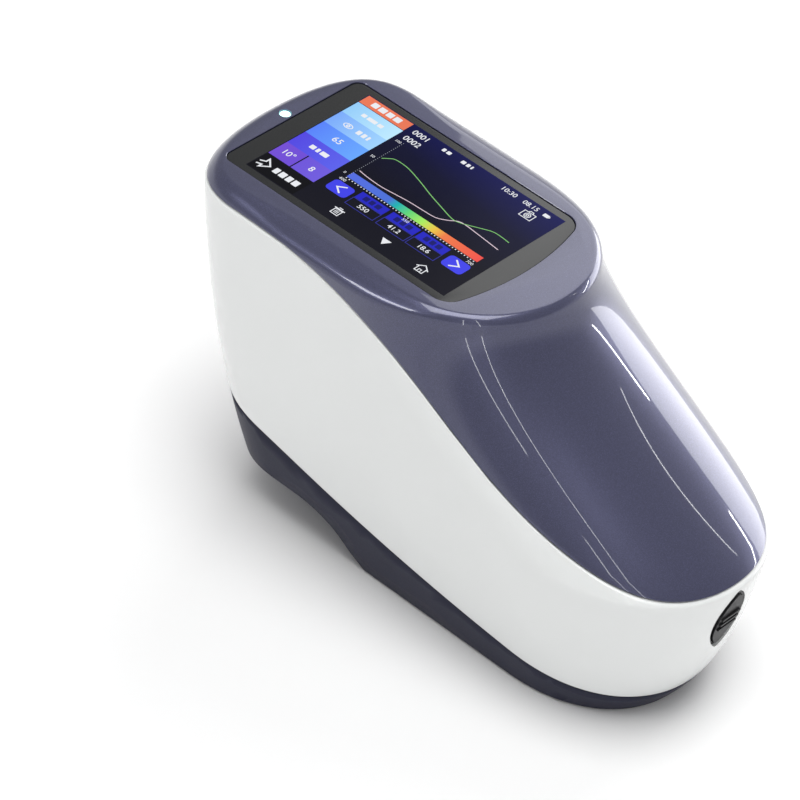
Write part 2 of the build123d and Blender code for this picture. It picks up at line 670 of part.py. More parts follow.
with BuildPart() as sphere_lower:
    with BuildSketch(port_section) as lower_section:
        with BuildLine():
            port_rim = SPHERE_HEIGHT - sqrt(SPHERE_INSIDE**2 - PORT_HOLE**2)
            Polyline(
                (PORT_HOLE, port_rim),
                (PORT_HOLE, SPHERE_BOTTOM),
                (13.0, SPHERE_BOTTOM),
                (15.4, 6.0),
                (22.2, 15.0),
                (SPHERE_OUTSIDE, flange_low),
                (FLANGE_RADIUS, flange_low),
                (FLANGE_RADIUS, SPHERE_HEIGHT),
                (SPHERE_INSIDE, SPHERE_HEIGHT),
            )
            half_way = SPHERE_INSIDE * cos(radians(50)), SPHERE_HEIGHT - SPHERE_INSIDE * sin(radians(50))
            ThreePointArc((SPHERE_INSIDE, SPHERE_HEIGHT), half_way, (PORT_HOLE, port_rim))
        make_face()
    revolve(lower_section.sketch, axis=port_axis)
    rod(port_plane, 0, COLLAR_TOP + 0.3, COLLAR_OUTSIDE + 0.05, Mode.SUBTRACT)
    rod(port_plane, SPHERE_BOTTOM, COLLAR_TOP + 0.3, COLLAR_INSIDE - 0.05)
    rod(port_plane, 0, SPHERE_HEIGHT, PORT_HOLE, Mode.SUBTRACT)
    block(*flange_trim, Mode.INTERSECT)
    posts(CLAMP_SPOTS, flange_low, SPHERE_HEIGHT, SMALL_HOLE, Mode.SUBTRACT)
sphere_lower.part.label = "sphere_lower"
export_step(sphere_lower.part, "parts/sphere_lower.step")

with BuildPart() as sphere_upper:
    with Locations((PORT_X, 0, SPHERE_HEIGHT)):
        Sphere(SPHERE_OUTSIDE)
    rod(port_plane, SPHERE_HEIGHT, flange_high, FLANGE_RADIUS)
    with Locations((PORT_X, 0, SPHERE_HEIGHT)):
        Sphere(SPHERE_INSIDE, mode=Mode.SUBTRACT)
    block(*flange_trim, Mode.INTERSECT)
    rod(port_plane, 0, SPHERE_HEIGHT, 40, Mode.SUBTRACT)
    posts(CLAMP_SPOTS, SPHERE_HEIGHT, flange_high, SMALL_HOLE, Mode.SUBTRACT)
    rod(view_plane, 40, 52, BARREL_RADIUS + 0.1, Mode.SUBTRACT)
    rod(camera_plane, 34, 48, CAMERA_RADIUS + 0.1, Mode.SUBTRACT)
    rod(lamp_plane, 15, 30, LAMP_BORE, Mode.SUBTRACT)
sphere_upper.part.label = "sphere_upper"
export_step(sphere_upper.part, "parts/sphere_upper.step")

# The ring turns in the base; its collar runs in a groove under the sphere.
with BuildPart() as aperture_ring:
    with BuildSketch(port_section) as ring_section:
        Polygon(
            (RING_APERTURE, 1.4),
            (RING_APERTURE + 1.4, 0),
            (RING_RADIUS - 0.6, 0),
            (RING_RADIUS, 0.6),
            (RING_RADIUS, RING_THICK),
            (COLLAR_OUTSIDE, RING_THICK),
            (COLLAR_OUTSIDE, COLLAR_TOP),
            (COLLAR_INSIDE, COLLAR_TOP),
            (COLLAR_INSIDE, RING_THICK),
            (RING_APERTURE, RING_THICK),
            align=None,
        )
    revolve(ring_section.sketch, axis=port_axis)
    rod(port_plane, 0, 1.0, 2.0, Mode.SUBTRACT, ((0, RING_RADIUS), (0, -RING_RADIUS)))
aperture_ring.part.label = "aperture_ring"
export_step(aperture_ring.part, "parts/aperture_ring.step")

with BuildPart() as optics_bracket:
    plate(Plane(origin=(PORT_X + 0.5, 0, 0)), PLATE_LOW, PLATE_HIGH, 48, 50, 5)
    posts(CLAMP_SPOTS, flange_high, PLATE_HIGH, 2.5)
    posts(CLAMP_SPOTS, flange_high, PLATE_HIGH, SMALL_HOLE, Mode.SUBTRACT)
    posts(BOX_POSTS, PLATE_LOW, PLATE_HIGH, TINY_HOLE, Mode.SUBTRACT)
    rod(view_plane, 45, 60, BARREL_RADIUS + 1.5, Mode.SUBTRACT)
optics_bracket.part.label = "optics_bracket"
export_step(optics_bracket.part, "parts/optics_bracket.step")

optics_screws = screws(CLAMP_SPOTS, PLATE_HIGH, PLATE_HIGH + SMALL_HEAD_HIGH, SMALL_HEAD, 16.5, SMALL_SHANK)
optics_screws.part.label = "optics_screws"
export_step(optics_screws.part, "parts/optics_screws.step")

with BuildPart() as lamp_holder:
    rod(lamp_plane, 21.5, LAMP_BOARD_AT, LAMP_BORE + 1.5)
    rod(lamp_plane, 15, 35, LAMP_BORE, Mode.SUBTRACT)
    add(sphere_upper.part, mode=Mode.SUBTRACT)
    with Locations((PORT_X, 0, SPHERE_HEIGHT)):
        Sphere(SPHERE_OUTSIDE, mode=Mode.SUBTRACT)
lamp_holder.part.label = "lamp_holder"
export_step(lamp_holder.part, "parts/lamp_holder.step")

with BuildPart() as lamp_board:
    plate(lamp_plane, LAMP_BOARD_AT, LAMP_BOARD_AT + 1.2, 16, 13, 1.5)
lamp_board.part.label = "lamp_board"
export_step(lamp_board.part, "parts/lamp_board.step")

with BuildPart() as lamp:
    rod(lamp_plane, LAMP_BOARD_AT - 1.6, LAMP_BOARD_AT, 3.0)
    rod(lamp_plane, LAMP_BOARD_AT - 2.8, LAMP_BOARD_AT - 1.6, 2.2)
    fillet(lamp.edges().sort_by(Axis.X)[0], 0.5)
lamp.part.label = "lamp"
export_step(lamp.part, "parts/lamp.step")

with BuildPart() as lens_barrel:
    rod(view_plane, 44.8, 57.4, BARREL_RADIUS)
    rod(view_plane, 40, 60, 3.6, Mode.SUBTRACT)
    rod(view_plane, 50, 60, LENS_RADIUS + 0.05, Mode.SUBTRACT)
lens_barrel.part.label = "lens_barrel"
export_step(lens_barrel.part, "parts/lens_barrel.step")

with BuildPart() as receiving_lens:
    rod(view_plane, 50, 52.6, LENS_RADIUS)
    fillet(receiving_lens.edges().group_by(Axis.Z)[-1], 1.0)
receiving_lens.part.label = "receiving_lens"
export_step(receiving_lens.part, "parts/receiving_lens.step")

with BuildPart() as camera_module:
    plate(camera_plane, 43.2, 48.2, 8, 8, 1)
    rod(camera_plane, 37.5, 43.2, CAMERA_RADIUS)
    rod(camera_plane, 37.0, 39.0, CAMERA_RADIUS - 0.9, Mode.SUBTRACT)
camera_module.part.label = "camera_module"
export_step(camera_module.part, "parts/camera_module.step")

# Spectrometer box above the sphere
box_floor = BOX_LOW + BOX_WALL
box_back = BOX_BACK + BOX_WALL
box_front = BOX_FRONT - BOX_WALL
slit_x = PORT_X + box_floor * sin(radians(VIEW_TILT))

with BuildPart() as spectrometer_housing:
    block((BOX_BACK, -BOX_HALF, BOX_LOW), (BOX_FRONT, BOX_HALF, BOX_HIGH))
    fillet(spectrometer_housing.edges().filter_by(Axis.Z), 2.0)
    block(
        (box_back, -BOX_HALF + BOX_WALL, box_floor),
        (box_front, BOX_HALF - BOX_WALL, BOX_HIGH + 1),
        Mode.SUBTRACT,
    )
    posts(BOX_POSTS, PLATE_HIGH, BOX_HIGH, 2.5)
    posts(BOX_POSTS, BOX_HIGH - 5, BOX_HIGH, TINY_PILOT, Mode.SUBTRACT)
    posts(BOX_POSTS, PLATE_HIGH, PLATE_HIGH + 5, TINY_PILOT, Mode.SUBTRACT)
    rod(view_plane, 50, 62, BARREL_RADIUS + 0.1, Mode.SUBTRACT)
spectrometer_housing.part.label = "spectrometer_housing"
export_step(spectrometer_housing.part, "parts/spectrometer_housing.step")

housing_screws = screws(
    BOX_POSTS, PLATE_LOW - TINY_HEAD_HIGH, PLATE_LOW, TINY_HEAD, PLATE_HIGH + 4, TINY_SHANK
)
housing_screws.part.label = "housing_screws"
export_step(housing_screws.part, "parts/housing_screws.step")

lid_top = BOX_HIGH + 1.5
with BuildPart() as spectrometer_lid:
    block((BOX_BACK, -BOX_HALF, BOX_HIGH), (BOX_FRONT, BOX_HALF, lid_top))
    fillet(spectrometer_lid.edges().filter_by(Axis.Z), 2.0)
    posts(BOX_POSTS, BOX_HIGH, lid_top, TINY_HOLE, Mode.SUBTRACT)
spectrometer_lid.part.label = "spectrometer_lid"
export_step(spectrometer_lid.part, "parts/spectrometer_lid.step")

lid_screws = screws(BOX_POSTS, lid_top, lid_top + TINY_HEAD_HIGH, TINY_HEAD, BOX_HIGH - 4, TINY_SHANK)
lid_screws.part.label = "lid_screws"
export_step(lid_screws.part, "parts/lid_screws.step")

with BuildPart() as slit_plate:
    block((slit_x - 6, -6, box_floor), (slit_x + 6, 6, box_floor + 0.5))
    block((slit_x - 0.15, -1.5, box_floor), (slit_x + 0.15, 1.5, box_floor + 0.5), Mode.SUBTRACT)
slit_plate.part.label = "slit_plate"
export_step(slit_plate.part, "parts/slit_plate.step")

# Glued under the lid, it turns the light from the slit towards the grating.
with BuildPart() as folding_mirror:
    with BuildSketch(Plane.XZ) as mirror_wedge:
        Polygon((slit_x - 5, BOX_HIGH - 10), (slit_x + 5, BOX_HIGH), (slit_x - 5, BOX_HIGH), align=None)
    extrude(mirror_wedge.sketch, amount=5, both=True)
folding_mirror.part.label = "folding_mirror"
export_step(folding_mirror.part, "parts/folding_mirror.step")

with BuildPart() as diffraction_grating:
    block((box_front - 4, -6, box_floor), (box_front, 6, box_floor + 13))
    with Locations((box_front - 33, 0, box_floor + 7)):
        Sphere(30, mode=Mode.SUBTRACT)
diffraction_grating.part.label = "diffraction_grating"
export_step(diffraction_grating.part, "parts/diffraction_grating.step")

with BuildPart() as sensor_board:
    block((box_back, -9, box_floor), (box_back + 1.2, 9, box_floor + 16))
sensor_board.part.label = "sensor_board"
export_step(sensor_board.part, "parts/sensor_board.step")

with BuildPart() as sensor_array:
    block((box_back + 1.2, -7, box_floor + 4), (box_back + 4.0, 7, box_floor + 10))
    block((box_back + 3.6, -6, box_floor + 6.4), (box_back + 4.0, 6, box_floor + 7.6), Mode.SUBTRACT)
sensor_array.part.label = "sensor_array"
export_step(sensor_array.part, "parts/sensor_array.step")

# Measure button: an oval cap with three ribs, in a black surround
with BuildPart() as button_bezel:
    extrude(button_plane.location * bezel_outer, amount=-BEZEL_DEPTH)
    extrude(button_plane.location * bezel_inner, amount=-BEZEL_DEPTH, mode=Mode.SUBTRACT)
button_bezel.part.label = "button_bezel"
export_step(button_bezel.part, "parts/button_bezel.step")

keeper_back = BUTTON_PROUD - BUTTON_THICK - KEEPER_THICK
with BuildPart() as measure_button:
    extrude(button_plane.offset(BUTTON_PROUD).location * button_face, amount=-BUTTON_THICK)
    with BuildSketch(button_plane.offset(keeper_back)) as keeper:
        Ellipse(7.2, 12.4)
    extrude(keeper.sketch, amount=KEEPER_THICK)
    with BuildSketch(button_plane.offset(BUTTON_PROUD)) as ribs:
        with GridLocations(0, RIB_PITCH, 1, 3):
            SlotOverall(7.6, 0.9)
    extrude(ribs.sketch, amount=0.6)
    rod(button_plane, STEM_END, keeper_back, 1.6)
measure_button.part.label = "measure_button"
export_step(measure_button.part, "parts/measure_button.step")

with BuildPart() as button_switch:
    plate(button_plane, BUTTON_BOARD_FRONT, PLUNGER_TOP - 0.6, 6, 6, 0.5)
    rod(button_plane, PLUNGER_TOP - 0.6, PLUNGER_TOP, 1.4)
button_switch.part.label = "button_switch"
export_step(button_switch.part, "parts/button_switch.step")

button_board_back = BUTTON_BOARD_FRONT - 1.2
with BuildPart() as button_board:
    plate(button_plane, button_board_back, BUTTON_BOARD_FRONT, 26, 14, 2)
    rod(button_plane, button_board_back, BUTTON_BOARD_FRONT, TINY_HOLE, Mode.SUBTRACT, BUTTON_BOARD_SPOTS)
button_board.part.label = "button_board"
export_step(button_board.part, "parts/button_board.step")

button_head_back = button_board_back - TINY_HEAD_HIGH
with BuildPart() as button_screws:
    rod(button_plane, button_head_back, button_board_back, TINY_HEAD, spots=BUTTON_BOARD_SPOTS)
    rod(button_plane, button_board_back, -6, TINY_SHANK, spots=BUTTON_BOARD_SPOTS)
button_screws.part.label = "button_screws"
export_step(button_screws.part, "parts/button_screws.step")

# Connector panel: a dished plate behind the window, with its board, sockets and slide switch
side_board_face = SIDE_BOARD_Y + SIDE_BOARD_THICK
slot_mid = SWITCH_X + SWITCH_TRAVEL / 2
with BuildPart() as connector_panel:
    block((3, PANEL_FACE_Y - 1.6, PANEL_MID_Z - 6.6), (49, 40, PANEL_MID_Z + 6.6))
    add(inner_blank, mode=Mode.INTERSECT)
    rounded_slot(PANEL_MID_X, *PANEL_WINDOW, PANEL_FACE_Y, 40, Mode.SUBTRACT)
    rounded_slot(slot_mid, 3.2 + SWITCH_TRAVEL, 2.6, 25, 40, Mode.SUBTRACT)
    rounded_slot(DATA_X, 9.6, 3.8, 25, 40, Mode.SUBTRACT)
    rod(panel_plane(CHARGE_X, 25), 0, 15, 3.8, Mode.SUBTRACT)
connector_panel.part.label = "connector_panel"
export_step(connector_panel.part, "parts/connector_panel.step")

with BuildPart() as connector_board:
    block((4, SIDE_BOARD_Y, 24.4), (50, side_board_face, BOARD_LOW))
connector_board.part.label = "connector_board"
export_step(connector_board.part, "parts/connector_board.step")

charge_plane = panel_plane(CHARGE_X, 0)
with BuildPart() as charge_socket:
    block((CHARGE_X - 4.5, side_board_face, PANEL_MID_Z - 4.4), (CHARGE_X + 4.5, 30.6, PANEL_MID_Z + 4.4))
    rod(charge_plane, 30, PANEL_FACE_Y, 3.6)
    rod(charge_plane, 24, 35, 2.9, Mode.SUBTRACT)
    rod(charge_plane, 23.5, 31.5, 0.9)
charge_socket.part.label = "charge_socket"
export_step(charge_socket.part, "parts/charge_socket.step")

with BuildPart() as data_socket:
    rounded_slot(DATA_X, 9.2, 3.4, 24.4, PANEL_FACE_Y)
    rounded_slot(DATA_X, 8.5, 2.7, 25.4, 40, Mode.SUBTRACT)
    rounded_slot(DATA_X, 6.6, 0.8, 25.2, 31.4)
    block((DATA_X - 4.2, side_board_face, PANEL_MID_Z - 1.6), (DATA_X + 4.2, 24.6, PANEL_MID_Z + 1.6))
data_socket.part.label = "data_socket"
export_step(data_socket.part, "parts/data_socket.step")

with BuildPart() as switch_body:
    block((slot_mid - 6, side_board_face, PANEL_MID_Z - 3), (slot_mid + 6, 28.0, PANEL_MID_Z + 3))
    block((slot_mid - 3.7, 25.5, PANEL_MID_Z - 1.4), (slot_mid + 3.7, 28.0, PANEL_MID_Z + 1.4), Mode.SUBTRACT)
switch_body.part.label = "switch_body"
export_step(switch_body.part, "parts/switch_body.step")

cap_low = PANEL_FACE_Y + 0.3
cap_high = cap_low + 1.0
with BuildPart() as power_slider:
    block((SWITCH_X - 1.2, 26.0, PANEL_MID_Z - 0.8), (SWITCH_X + 1.2, cap_low, PANEL_MID_Z + 0.8))
    block((SWITCH_X - 3, cap_low, PANEL_MID_Z - 1.8), (SWITCH_X + 3, cap_high, PANEL_MID_Z + 1.8))
    for along in (-1.8, -0.6, 0.6, 1.8):
        x = SWITCH_X + along
        block((x - 0.25, cap_high, PANEL_MID_Z - 1.5), (x + 0.25, cap_high + 0.4, PANEL_MID_Z + 1.5))
power_slider.part.label = "power_slider"
export_step(power_slider.part, "parts/power_slider.step")
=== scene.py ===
import json
from math import atan2, cos, pi, radians, sin, sqrt, tan

import bmesh
import bpy
from bpy.props import FloatProperty, FloatVectorProperty, PointerProperty
from bpy.types import Operator, Panel, PropertyGroup
from mathutils import Matrix, Vector


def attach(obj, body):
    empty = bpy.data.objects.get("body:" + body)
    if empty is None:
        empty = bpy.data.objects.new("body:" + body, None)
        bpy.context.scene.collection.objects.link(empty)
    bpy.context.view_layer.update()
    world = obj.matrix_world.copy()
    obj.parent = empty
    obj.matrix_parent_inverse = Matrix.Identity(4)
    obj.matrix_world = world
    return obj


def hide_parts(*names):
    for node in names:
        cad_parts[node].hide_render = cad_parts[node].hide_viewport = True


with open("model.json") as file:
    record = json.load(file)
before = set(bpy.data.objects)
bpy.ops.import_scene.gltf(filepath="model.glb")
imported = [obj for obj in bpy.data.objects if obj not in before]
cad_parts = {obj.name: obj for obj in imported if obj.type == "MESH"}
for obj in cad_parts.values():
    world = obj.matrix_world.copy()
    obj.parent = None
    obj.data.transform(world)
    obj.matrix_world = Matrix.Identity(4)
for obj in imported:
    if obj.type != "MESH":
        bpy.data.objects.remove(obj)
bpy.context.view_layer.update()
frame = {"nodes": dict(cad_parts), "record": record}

bl_info = {
    "name": "Hand-held colour spectrophotometer",
    "version": (1, 0, 0),
    "blender": (4, 5, 0),
    "location": "3D View > Sidebar > Spectrophotometer",
    "description": "Builds the lacquered casing, lit display and controls around the packed parts",
    "category": "Object",
}

MM = 0.001

# Casing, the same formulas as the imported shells, in millimetres
HEIGHT = 105.0
HALF_WIDTH = 38.5
TALL_END = -92.5
WALL = 2.0
CORNER_LENGTH = 24.3
NOSE_FULLNESS = 0.60
CORNER_FULLNESS = 0.69
SEAM_SEARCH = (2.0, 104.0)
COVER_SEAM = ((-52, 100.8), (-34, 98.6), (-14, 92.1), (25.7, 70.8), (65.3, 55.1), (92, 50.4))
BASE_SEAM = ((-100, 40.5), (-63.5, 33.4), (-23.9, 23.2), (15.8, 15.0), (55.4, 10.2), (100, 8.2))

# The nose's tip, its undercut below and its slope above: factors of the first and further powers
TIP_HEIGHT = 50.0
TIP_REACH = 92.5
TIP_ROUND = 0.8
UNDERCUT = (-8.0, -7.0)
SLOPE = (-80.2, -47.5, 56.6)
SLOPE_FROM = 30.0
SLOPE_STEP = 0.1

# Curves of the tall end, the width and the nose's length: how far they draw in, then their power
BACK_LEAN = (26.0, 1.4)
WIDTH_TAPER = (8.6, 2.2)
TAPER_BELOW = 75.0
NOSE_LENGTH = 48.5
NOSE_SHORTER = (13.5, 4)

# How far the top edge reaches in over the deck and down the wall: at the front, the sides, the tall end
EDGE_FRONT = (2.4, 2.4)
EDGE_SIDE = (7.4, 4.6)
EDGE_BACK = (5.2, 6.0)
EDGE_PULL = 0.42
EDGE_PROBE = 1.0

# Rims of the shells, rows of inset and rise from the seam, in millimetres
COVER_RIM = ((0.5, 0.0), (0.18, 0.04), (0.05, 0.18), (0.0, 0.5))
SHELL_FOOT = ((0.06, 0.14), (0.2, 0.02), (0.5, 0.0), (WALL, 0.0))
SHELL_FOOT_START = 0.4
LIP_CHAMFER = 0.6
LIP_DROP = 0.05

# Display, in millimetres
GLASS_TOP = 104.7
GLASS_THICK = 1.1
GLASS_BACK = -82.4
GLASS_FRONT = 1.2
GLASS_BOW = 4.5
GLASS_HALF = 27.4
GLASS_BACK_ROUND = 3.0
GLASS_FRONT_ROUND = 6.0
GLASS_GAP = 0.1
SEAT_SPACE = 0.3
SEAT_FLOOR = GLASS_TOP - GLASS_THICK - SEAT_SPACE
SEAT_THICK = 1.7
SEAT_LEDGE = 1.2
SEAT_CHAMFER = 0.12
SCREEN_LENGTH = 73.44
SCREEN_WIDTH = 48.96
SCREEN_MID_X = -38.8
SCREEN_LIFT = 0.02
SCREEN_TOP = GLASS_TOP + SCREEN_LIFT

# Picture on the display: its layers' spacing and the layer of its marks, then its bars, in millimetres
LAYER_STEP = 0.03
MARK_LAYER = 2
BAR_GAP = 0.55
BAR_ROUND = 0.25
FIGURE_CURVE_STEPS = 3
ROUND_STEPS = 5
SHARPEST_JOIN = 0.4

# Button opening, connector window and status light, in millimetres and degrees
BUTTON_AT = (89.6, 0.0, 36.8)
BUTTON_TILT = 12.0
BUTTON_OPENING = (24.52, 12.12, 1.6)
BUTTON_CUT = (-16.0, 6.0)
WINDOW_MID = (26.0, 29.0)
WINDOW_SIZE = (44.0, 12.0)
WINDOW_ROUND = 3.6
WINDOW_CUT = (30.0, 45.0)
STATUS_X = -84.8
STATUS_HOLE = 1.8
STATUS_CUT = 15.0
CUT_BELOW_CEILING = 2.0
STATUS_COLOUR = (175, 255, 245)
PIPE_GLOW_FROM = 103.5

# Camera, found from the photograph's outlines: places in metres, roll in degrees, lens in millimetres
CAMERA_AT = (0.57525, -0.77226, 0.86655)
CAMERA_AIM = (-0.02012, -0.01417, 0.050)
CAMERA_ROLL = 7.52
CAMERA_LENS = 204.8
SENSOR_WIDTH = 36.0

# Studio: half of the floor's side, the lights' distance and what they face, in metres
FLOOR_HALF = 1.3
FLOOR_COLOUR = (0.92, 0.92, 0.92, 1)
LIGHT_DISTANCE = 2.5
LIGHT_AIM = (0.0, 0.0, 0.06)

# Studio lights: azimuth from +X towards +Y, elevation, width, height and turn in degrees, then brightness
STUDIO_LIGHTS = {
    "overhead": (-60, 84, 36, 36, 0, 4.7),
    "deck_fill": (104.5, 38, 36, 44, 0, 1.8),
    "far_side": (82.4, 3.8, 36, 36, -31, 4.2),
    "far_streak": (63, 18, 1.2, 22, -47, 30.0),
    "far_streak_thin": (60, 37, 0.3, 9, 0, 14.0),
    "near_streak_low": (-51, 22, 0.7, 49, 0, 9.0),
    "near_streak_high": (-38.5, 24, 0.5, 61, 0, 12.0),
    "lip_line": (-112, 41, 26, 8, 0, 9.0),
}

# Brightness of the surroundings by the height in the sky
HORIZON_STOPS = ((0.0, (1.0, 1.0, 1.0, 1)), (0.10, (1.0, 1.0, 1.0, 1)), (0.30, (0.5, 0.5, 0.5, 1)))

# The lights that shade the object; the others only show in its gloss, like strips of window
SHADING_LIGHTS = ("overhead", "deck_fill")

# Columns of the casing meshes along the nose's curve, the straight side and the tall end's corner, and rings
NOSE_COLUMNS = 40
SIDE_COLUMNS = 36
CORNER_COLUMNS = 26
WALL_RINGS = 26
INNER_RINGS = 13
EDGE_RINGS = 8
LIP_RINGS = 6

# Steps along outlines: the glass's bow, front corners, sides, back corners and back; an oval's arcs and tips
GLASS_STEPS = (14, 12, 24, 10, 12)
OVAL_STEPS = (22, 6)
CORNER_STEPS = 10
HOLE_STEPS = 32
HALVINGS = 30
MERGE_DISTANCE = 1e-7
WELD_DISTANCE = 1e-6
CREASE = 32.0
SOFT_CREASE = 50.0

# Finishes that show: the colour's setting, scale and depth of its darker patches, roughness with its drift
# and scale, the relief noise's scale, detail and roughness, its depth in metres, then further sockets
SHOWN_FINISHES = {
    "shell_white": (
        "shell_colour", (40.0, 0.03), (0.24, 0.03, 700.0), (160.0, 1.0, 0.4), 0.000004,
        {"Coat_Weight": 0.5, "Coat_Roughness": 0.05},
    ),
    "base_dark": (
        "base_colour", (300.0, 0.15), (0.46, 0.06, 1500.0), (2600.0, 3.0, 0.6), 0.00001,
        {"Specular_IOR_Level": 0.3},
    ),
    "button_black": (
        "button_colour", (500.0, 0.3), (0.42, 0.06, 1800.0), (2600.0, 3.0, 0.6), 0.000006,
        {"Specular_IOR_Level": 0.25},
    ),
    "display_glass": ("glass_colour", (60.0, 0.1), (0.18, 0.015, 300.0), None, 0.0, {}),
}

# Finishes that hardly show: the same patches, drift of roughness and relief, then each one's colour as seen
# on a screen, roughness and metallic share
PLAIN_PATCHES = (400.0, 0.1)
PLAIN_DRIFT = (0.02, 1400.0)
PLAIN_RELIEF = ((5200.0, 2.0, 0.5), 0.000004)
PLAIN_FINISHES = {
    "display_panel": ((48, 56, 90), 0.2, 0.0),
    "light_sheet": ((236, 238, 240), 0.6, 0.0),
    "gasket_foam": ((38, 38, 38), 0.9, 0.0),
    "feet_rubber": ((42, 42, 46), 0.75, 0.0),
    "bracket_steel": ((194, 194, 197), 0.35, 1.0),
    "screw_steel": ((186, 186, 190), 0.30, 1.0),
    "board_green": ((38, 97, 63), 0.4, 0.0),
    "flex_amber": ((173, 118, 48), 0.35, 0.0),
    "chip_black": ((48, 48, 48), 0.5, 0.0),
    "battery_blue": ((48, 84, 144), 0.3, 0.0),
    "sphere_white": ((243, 243, 241), 0.93, 0.0),
    "optics_metal": ((58, 58, 62), 0.45, 0.8),
    "lens_glass": ((237, 243, 249), 0.05, 0.0),
    "mirror_coat": ((237, 237, 237), 0.05, 1.0),
}

# The cover's lacquer: its metal flakes' gain, rareness and scale, its roughness and its relief
FLAKES = (1.7, 3.0, 9000.0)
LACQUER_ROUGHNESS = (0.30, 0.03, 900.0)
LACQUER_RELIEF = ((160.0, 1.0, 0.4), 0.000003)

# The status light's pipe and the display's lit fields
PIPE_COLOUR = (0.75, 0.95, 0.98, 1)
PIPE_ROUGHNESS = (0.25, 0.05, 900.0)
LIT_BASE = (0.004, 0.004, 0.005, 1)
LIT_ROUGHNESS = (0.12, 0.03, 300.0)
LIT_PATCHES = (90.0, 0.07)

# The display's picture: places are shares of the lit area, from the tall end to the nose and from -Y to +Y;
# sizes, lines and roundings are millimetres. Fields: colour, two corners, layer if not 1, and rounding
TAB_FIELDS = (
    ("background", (-0.004, -0.006), (1.004, 1.006), 0),
    ("orange", (0.0, 0.912), (0.233, 1.0)),
    ("sky", (0.0, 0.770), (0.235, 0.908)),
    ("light_blue", (0.0, 0.623), (0.235, 0.770)),
    ("mid_blue", (0.0, 0.470), (0.235, 0.623)),
    ("violet_blue", (0.0, 0.322), (0.235, 0.470)),
    ("purple", (0.0, 0.168), (0.110, 0.322)),
    ("purple_deep", (0.116, 0.168), (0.235, 0.322)),
    ("strip_black", (0.0, 0.0), (0.235, 0.165)),
    ("white", (0.922, 0.944), (0.948, 0.972), 2, 0.15),
    ("white", (0.949, 0.951), (0.953, 0.965), 2),
)
PLOT_FIELDS = (
    ("spectrum", (0.290, 0.352), (0.952, 0.408)),
    ("arrow_blue", (0.276, 0.188), (0.376, 0.298), 1, 1.3),
    ("arrow_blue", (0.862, 0.188), (0.962, 0.298), 1, 1.3),
    ("cell_blue", (0.394, 0.250), (0.534, 0.322)),
    ("cell_blue", (0.551, 0.250), (0.691, 0.322)),
    ("cell_blue", (0.701, 0.250), (0.841, 0.322)),
)
TAB_COLOURS = {
    "sky": ((148, 205, 250), (190, 234, 255)),
    "light_blue": ((122, 170, 250), (160, 212, 255)),
    "mid_blue": ((88, 130, 250), (104, 168, 255)),
    "violet_blue": ((82, 70, 226), (92, 98, 236)),
    "purple": ((116, 78, 214), (104, 76, 214)),
    "purple_deep": ((108, 76, 214), (112, 92, 222)),
}
SCREEN_COLOURS = {
    "orange": (238, 122, 88),
    "strip_black": (6, 6, 10),
    "cell_blue": (36, 38, 196),
    "line_blue": (52, 54, 150),
    "line_dim": (22, 24, 112),
    "arrow_blue": (66, 68, 236),
    "green_line": (132, 200, 116),
    "pink_line": (226, 206, 218),
    "white": (238, 240, 245),
    "grey": (150, 155, 165),
}
SPECTRUM_COLOURS = (
    (0.29, (84, 108, 226)), (0.49, (74, 112, 214)), (0.53, (20, 178, 176)), (0.59, (96, 214, 120)),
    (0.66, (168, 236, 96)), (0.72, (236, 196, 70)), (0.77, (240, 124, 72)), (0.95, (240, 80, 72)),
)
BACKGROUND_COLOURS = ((0.0, (18, 18, 28)), (0.42, (8, 8, 24)), (0.72, (6, 8, 44)), (1.0, (8, 12, 84)))
BACKGROUND_MIX = (0.15, 0.85)
TAB_SHADE_END = 0.235
TRIANGLE = ((0.650, 0.058), (0.672, 0.112), (0.628, 0.112))

# White figures: text, centre, size, and boldness if any
FIGURES = (
    ("65", (0.118, 0.548), 3.4, 0.03),
    ("10°", (0.056, 0.245), 3.2, 0.03),
    ("8", (0.176, 0.245), 3.2, 0.03),
    ("0001", (0.303, 0.948), 3.0, 0.03),
    ("0002", (0.303, 0.870), 3.0, 0.03),
    ("10:30", (0.748, 0.958), 2.5, 0.02),
    ("08.15", (0.858, 0.958), 2.5, 0.02),
    ("0", (0.268, 0.372), 1.4),
    ("50", (0.268, 0.600), 1.4),
    ("100", (0.268, 0.812), 1.4),
    ("400", (0.292, 0.315), 1.6),
    ("550", (0.6145, 0.315), 1.6),
    ("700", (0.937, 0.315), 1.6),
    ("550", (0.464, 0.209), 2.5, 0.02),
    ("41.2", (0.621, 0.209), 2.5, 0.02),
    ("18.6", (0.771, 0.209), 2.5, 0.02),
)

# Bars in place of words: colour, centre, widths and height
WORD_BARS = (
    ("white", (0.118, 0.957), (2.2, 2.4, 2.2, 2.3), 2.2),
    ("white", (0.118, 0.838), (1.6, 3.4, 1.8), 1.5),
    ("white", (0.158, 0.697), (1.5, 1.3, 0.8), 1.9),
    ("white", (0.118, 0.398), (1.8, 1.1, 2.6), 1.8),
    ("white", (0.150, 0.082), (1.7, 2.0, 1.8, 2.0), 2.4),
    ("white", (0.430, 0.958), (1.1, 1.4), 1.4),
    ("white", (0.535, 0.958), (1.4, 1.1, 0.6), 1.4),
    ("line_dim", (0.464, 0.286), (1.7, 1.6, 1.8), 1.9),
    ("line_dim", (0.621, 0.286), (1.7, 1.6, 1.8), 1.9),
    ("line_dim", (0.771, 0.286), (1.7, 1.6, 1.8), 1.9),
)

# White rings of the eye and the camera: centre, width, height, line and how many points
RINGS = (
    ((0.080, 0.697), 3.0, 1.9, 0.32, 20),
    ((0.080, 0.697), 0.9, 0.9, 0.4, 10),
    ((0.887, 0.879), 1.9, 1.9, 0.28, 20),
    ((0.887, 0.879), 0.8, 0.8, 0.28, 10),
)

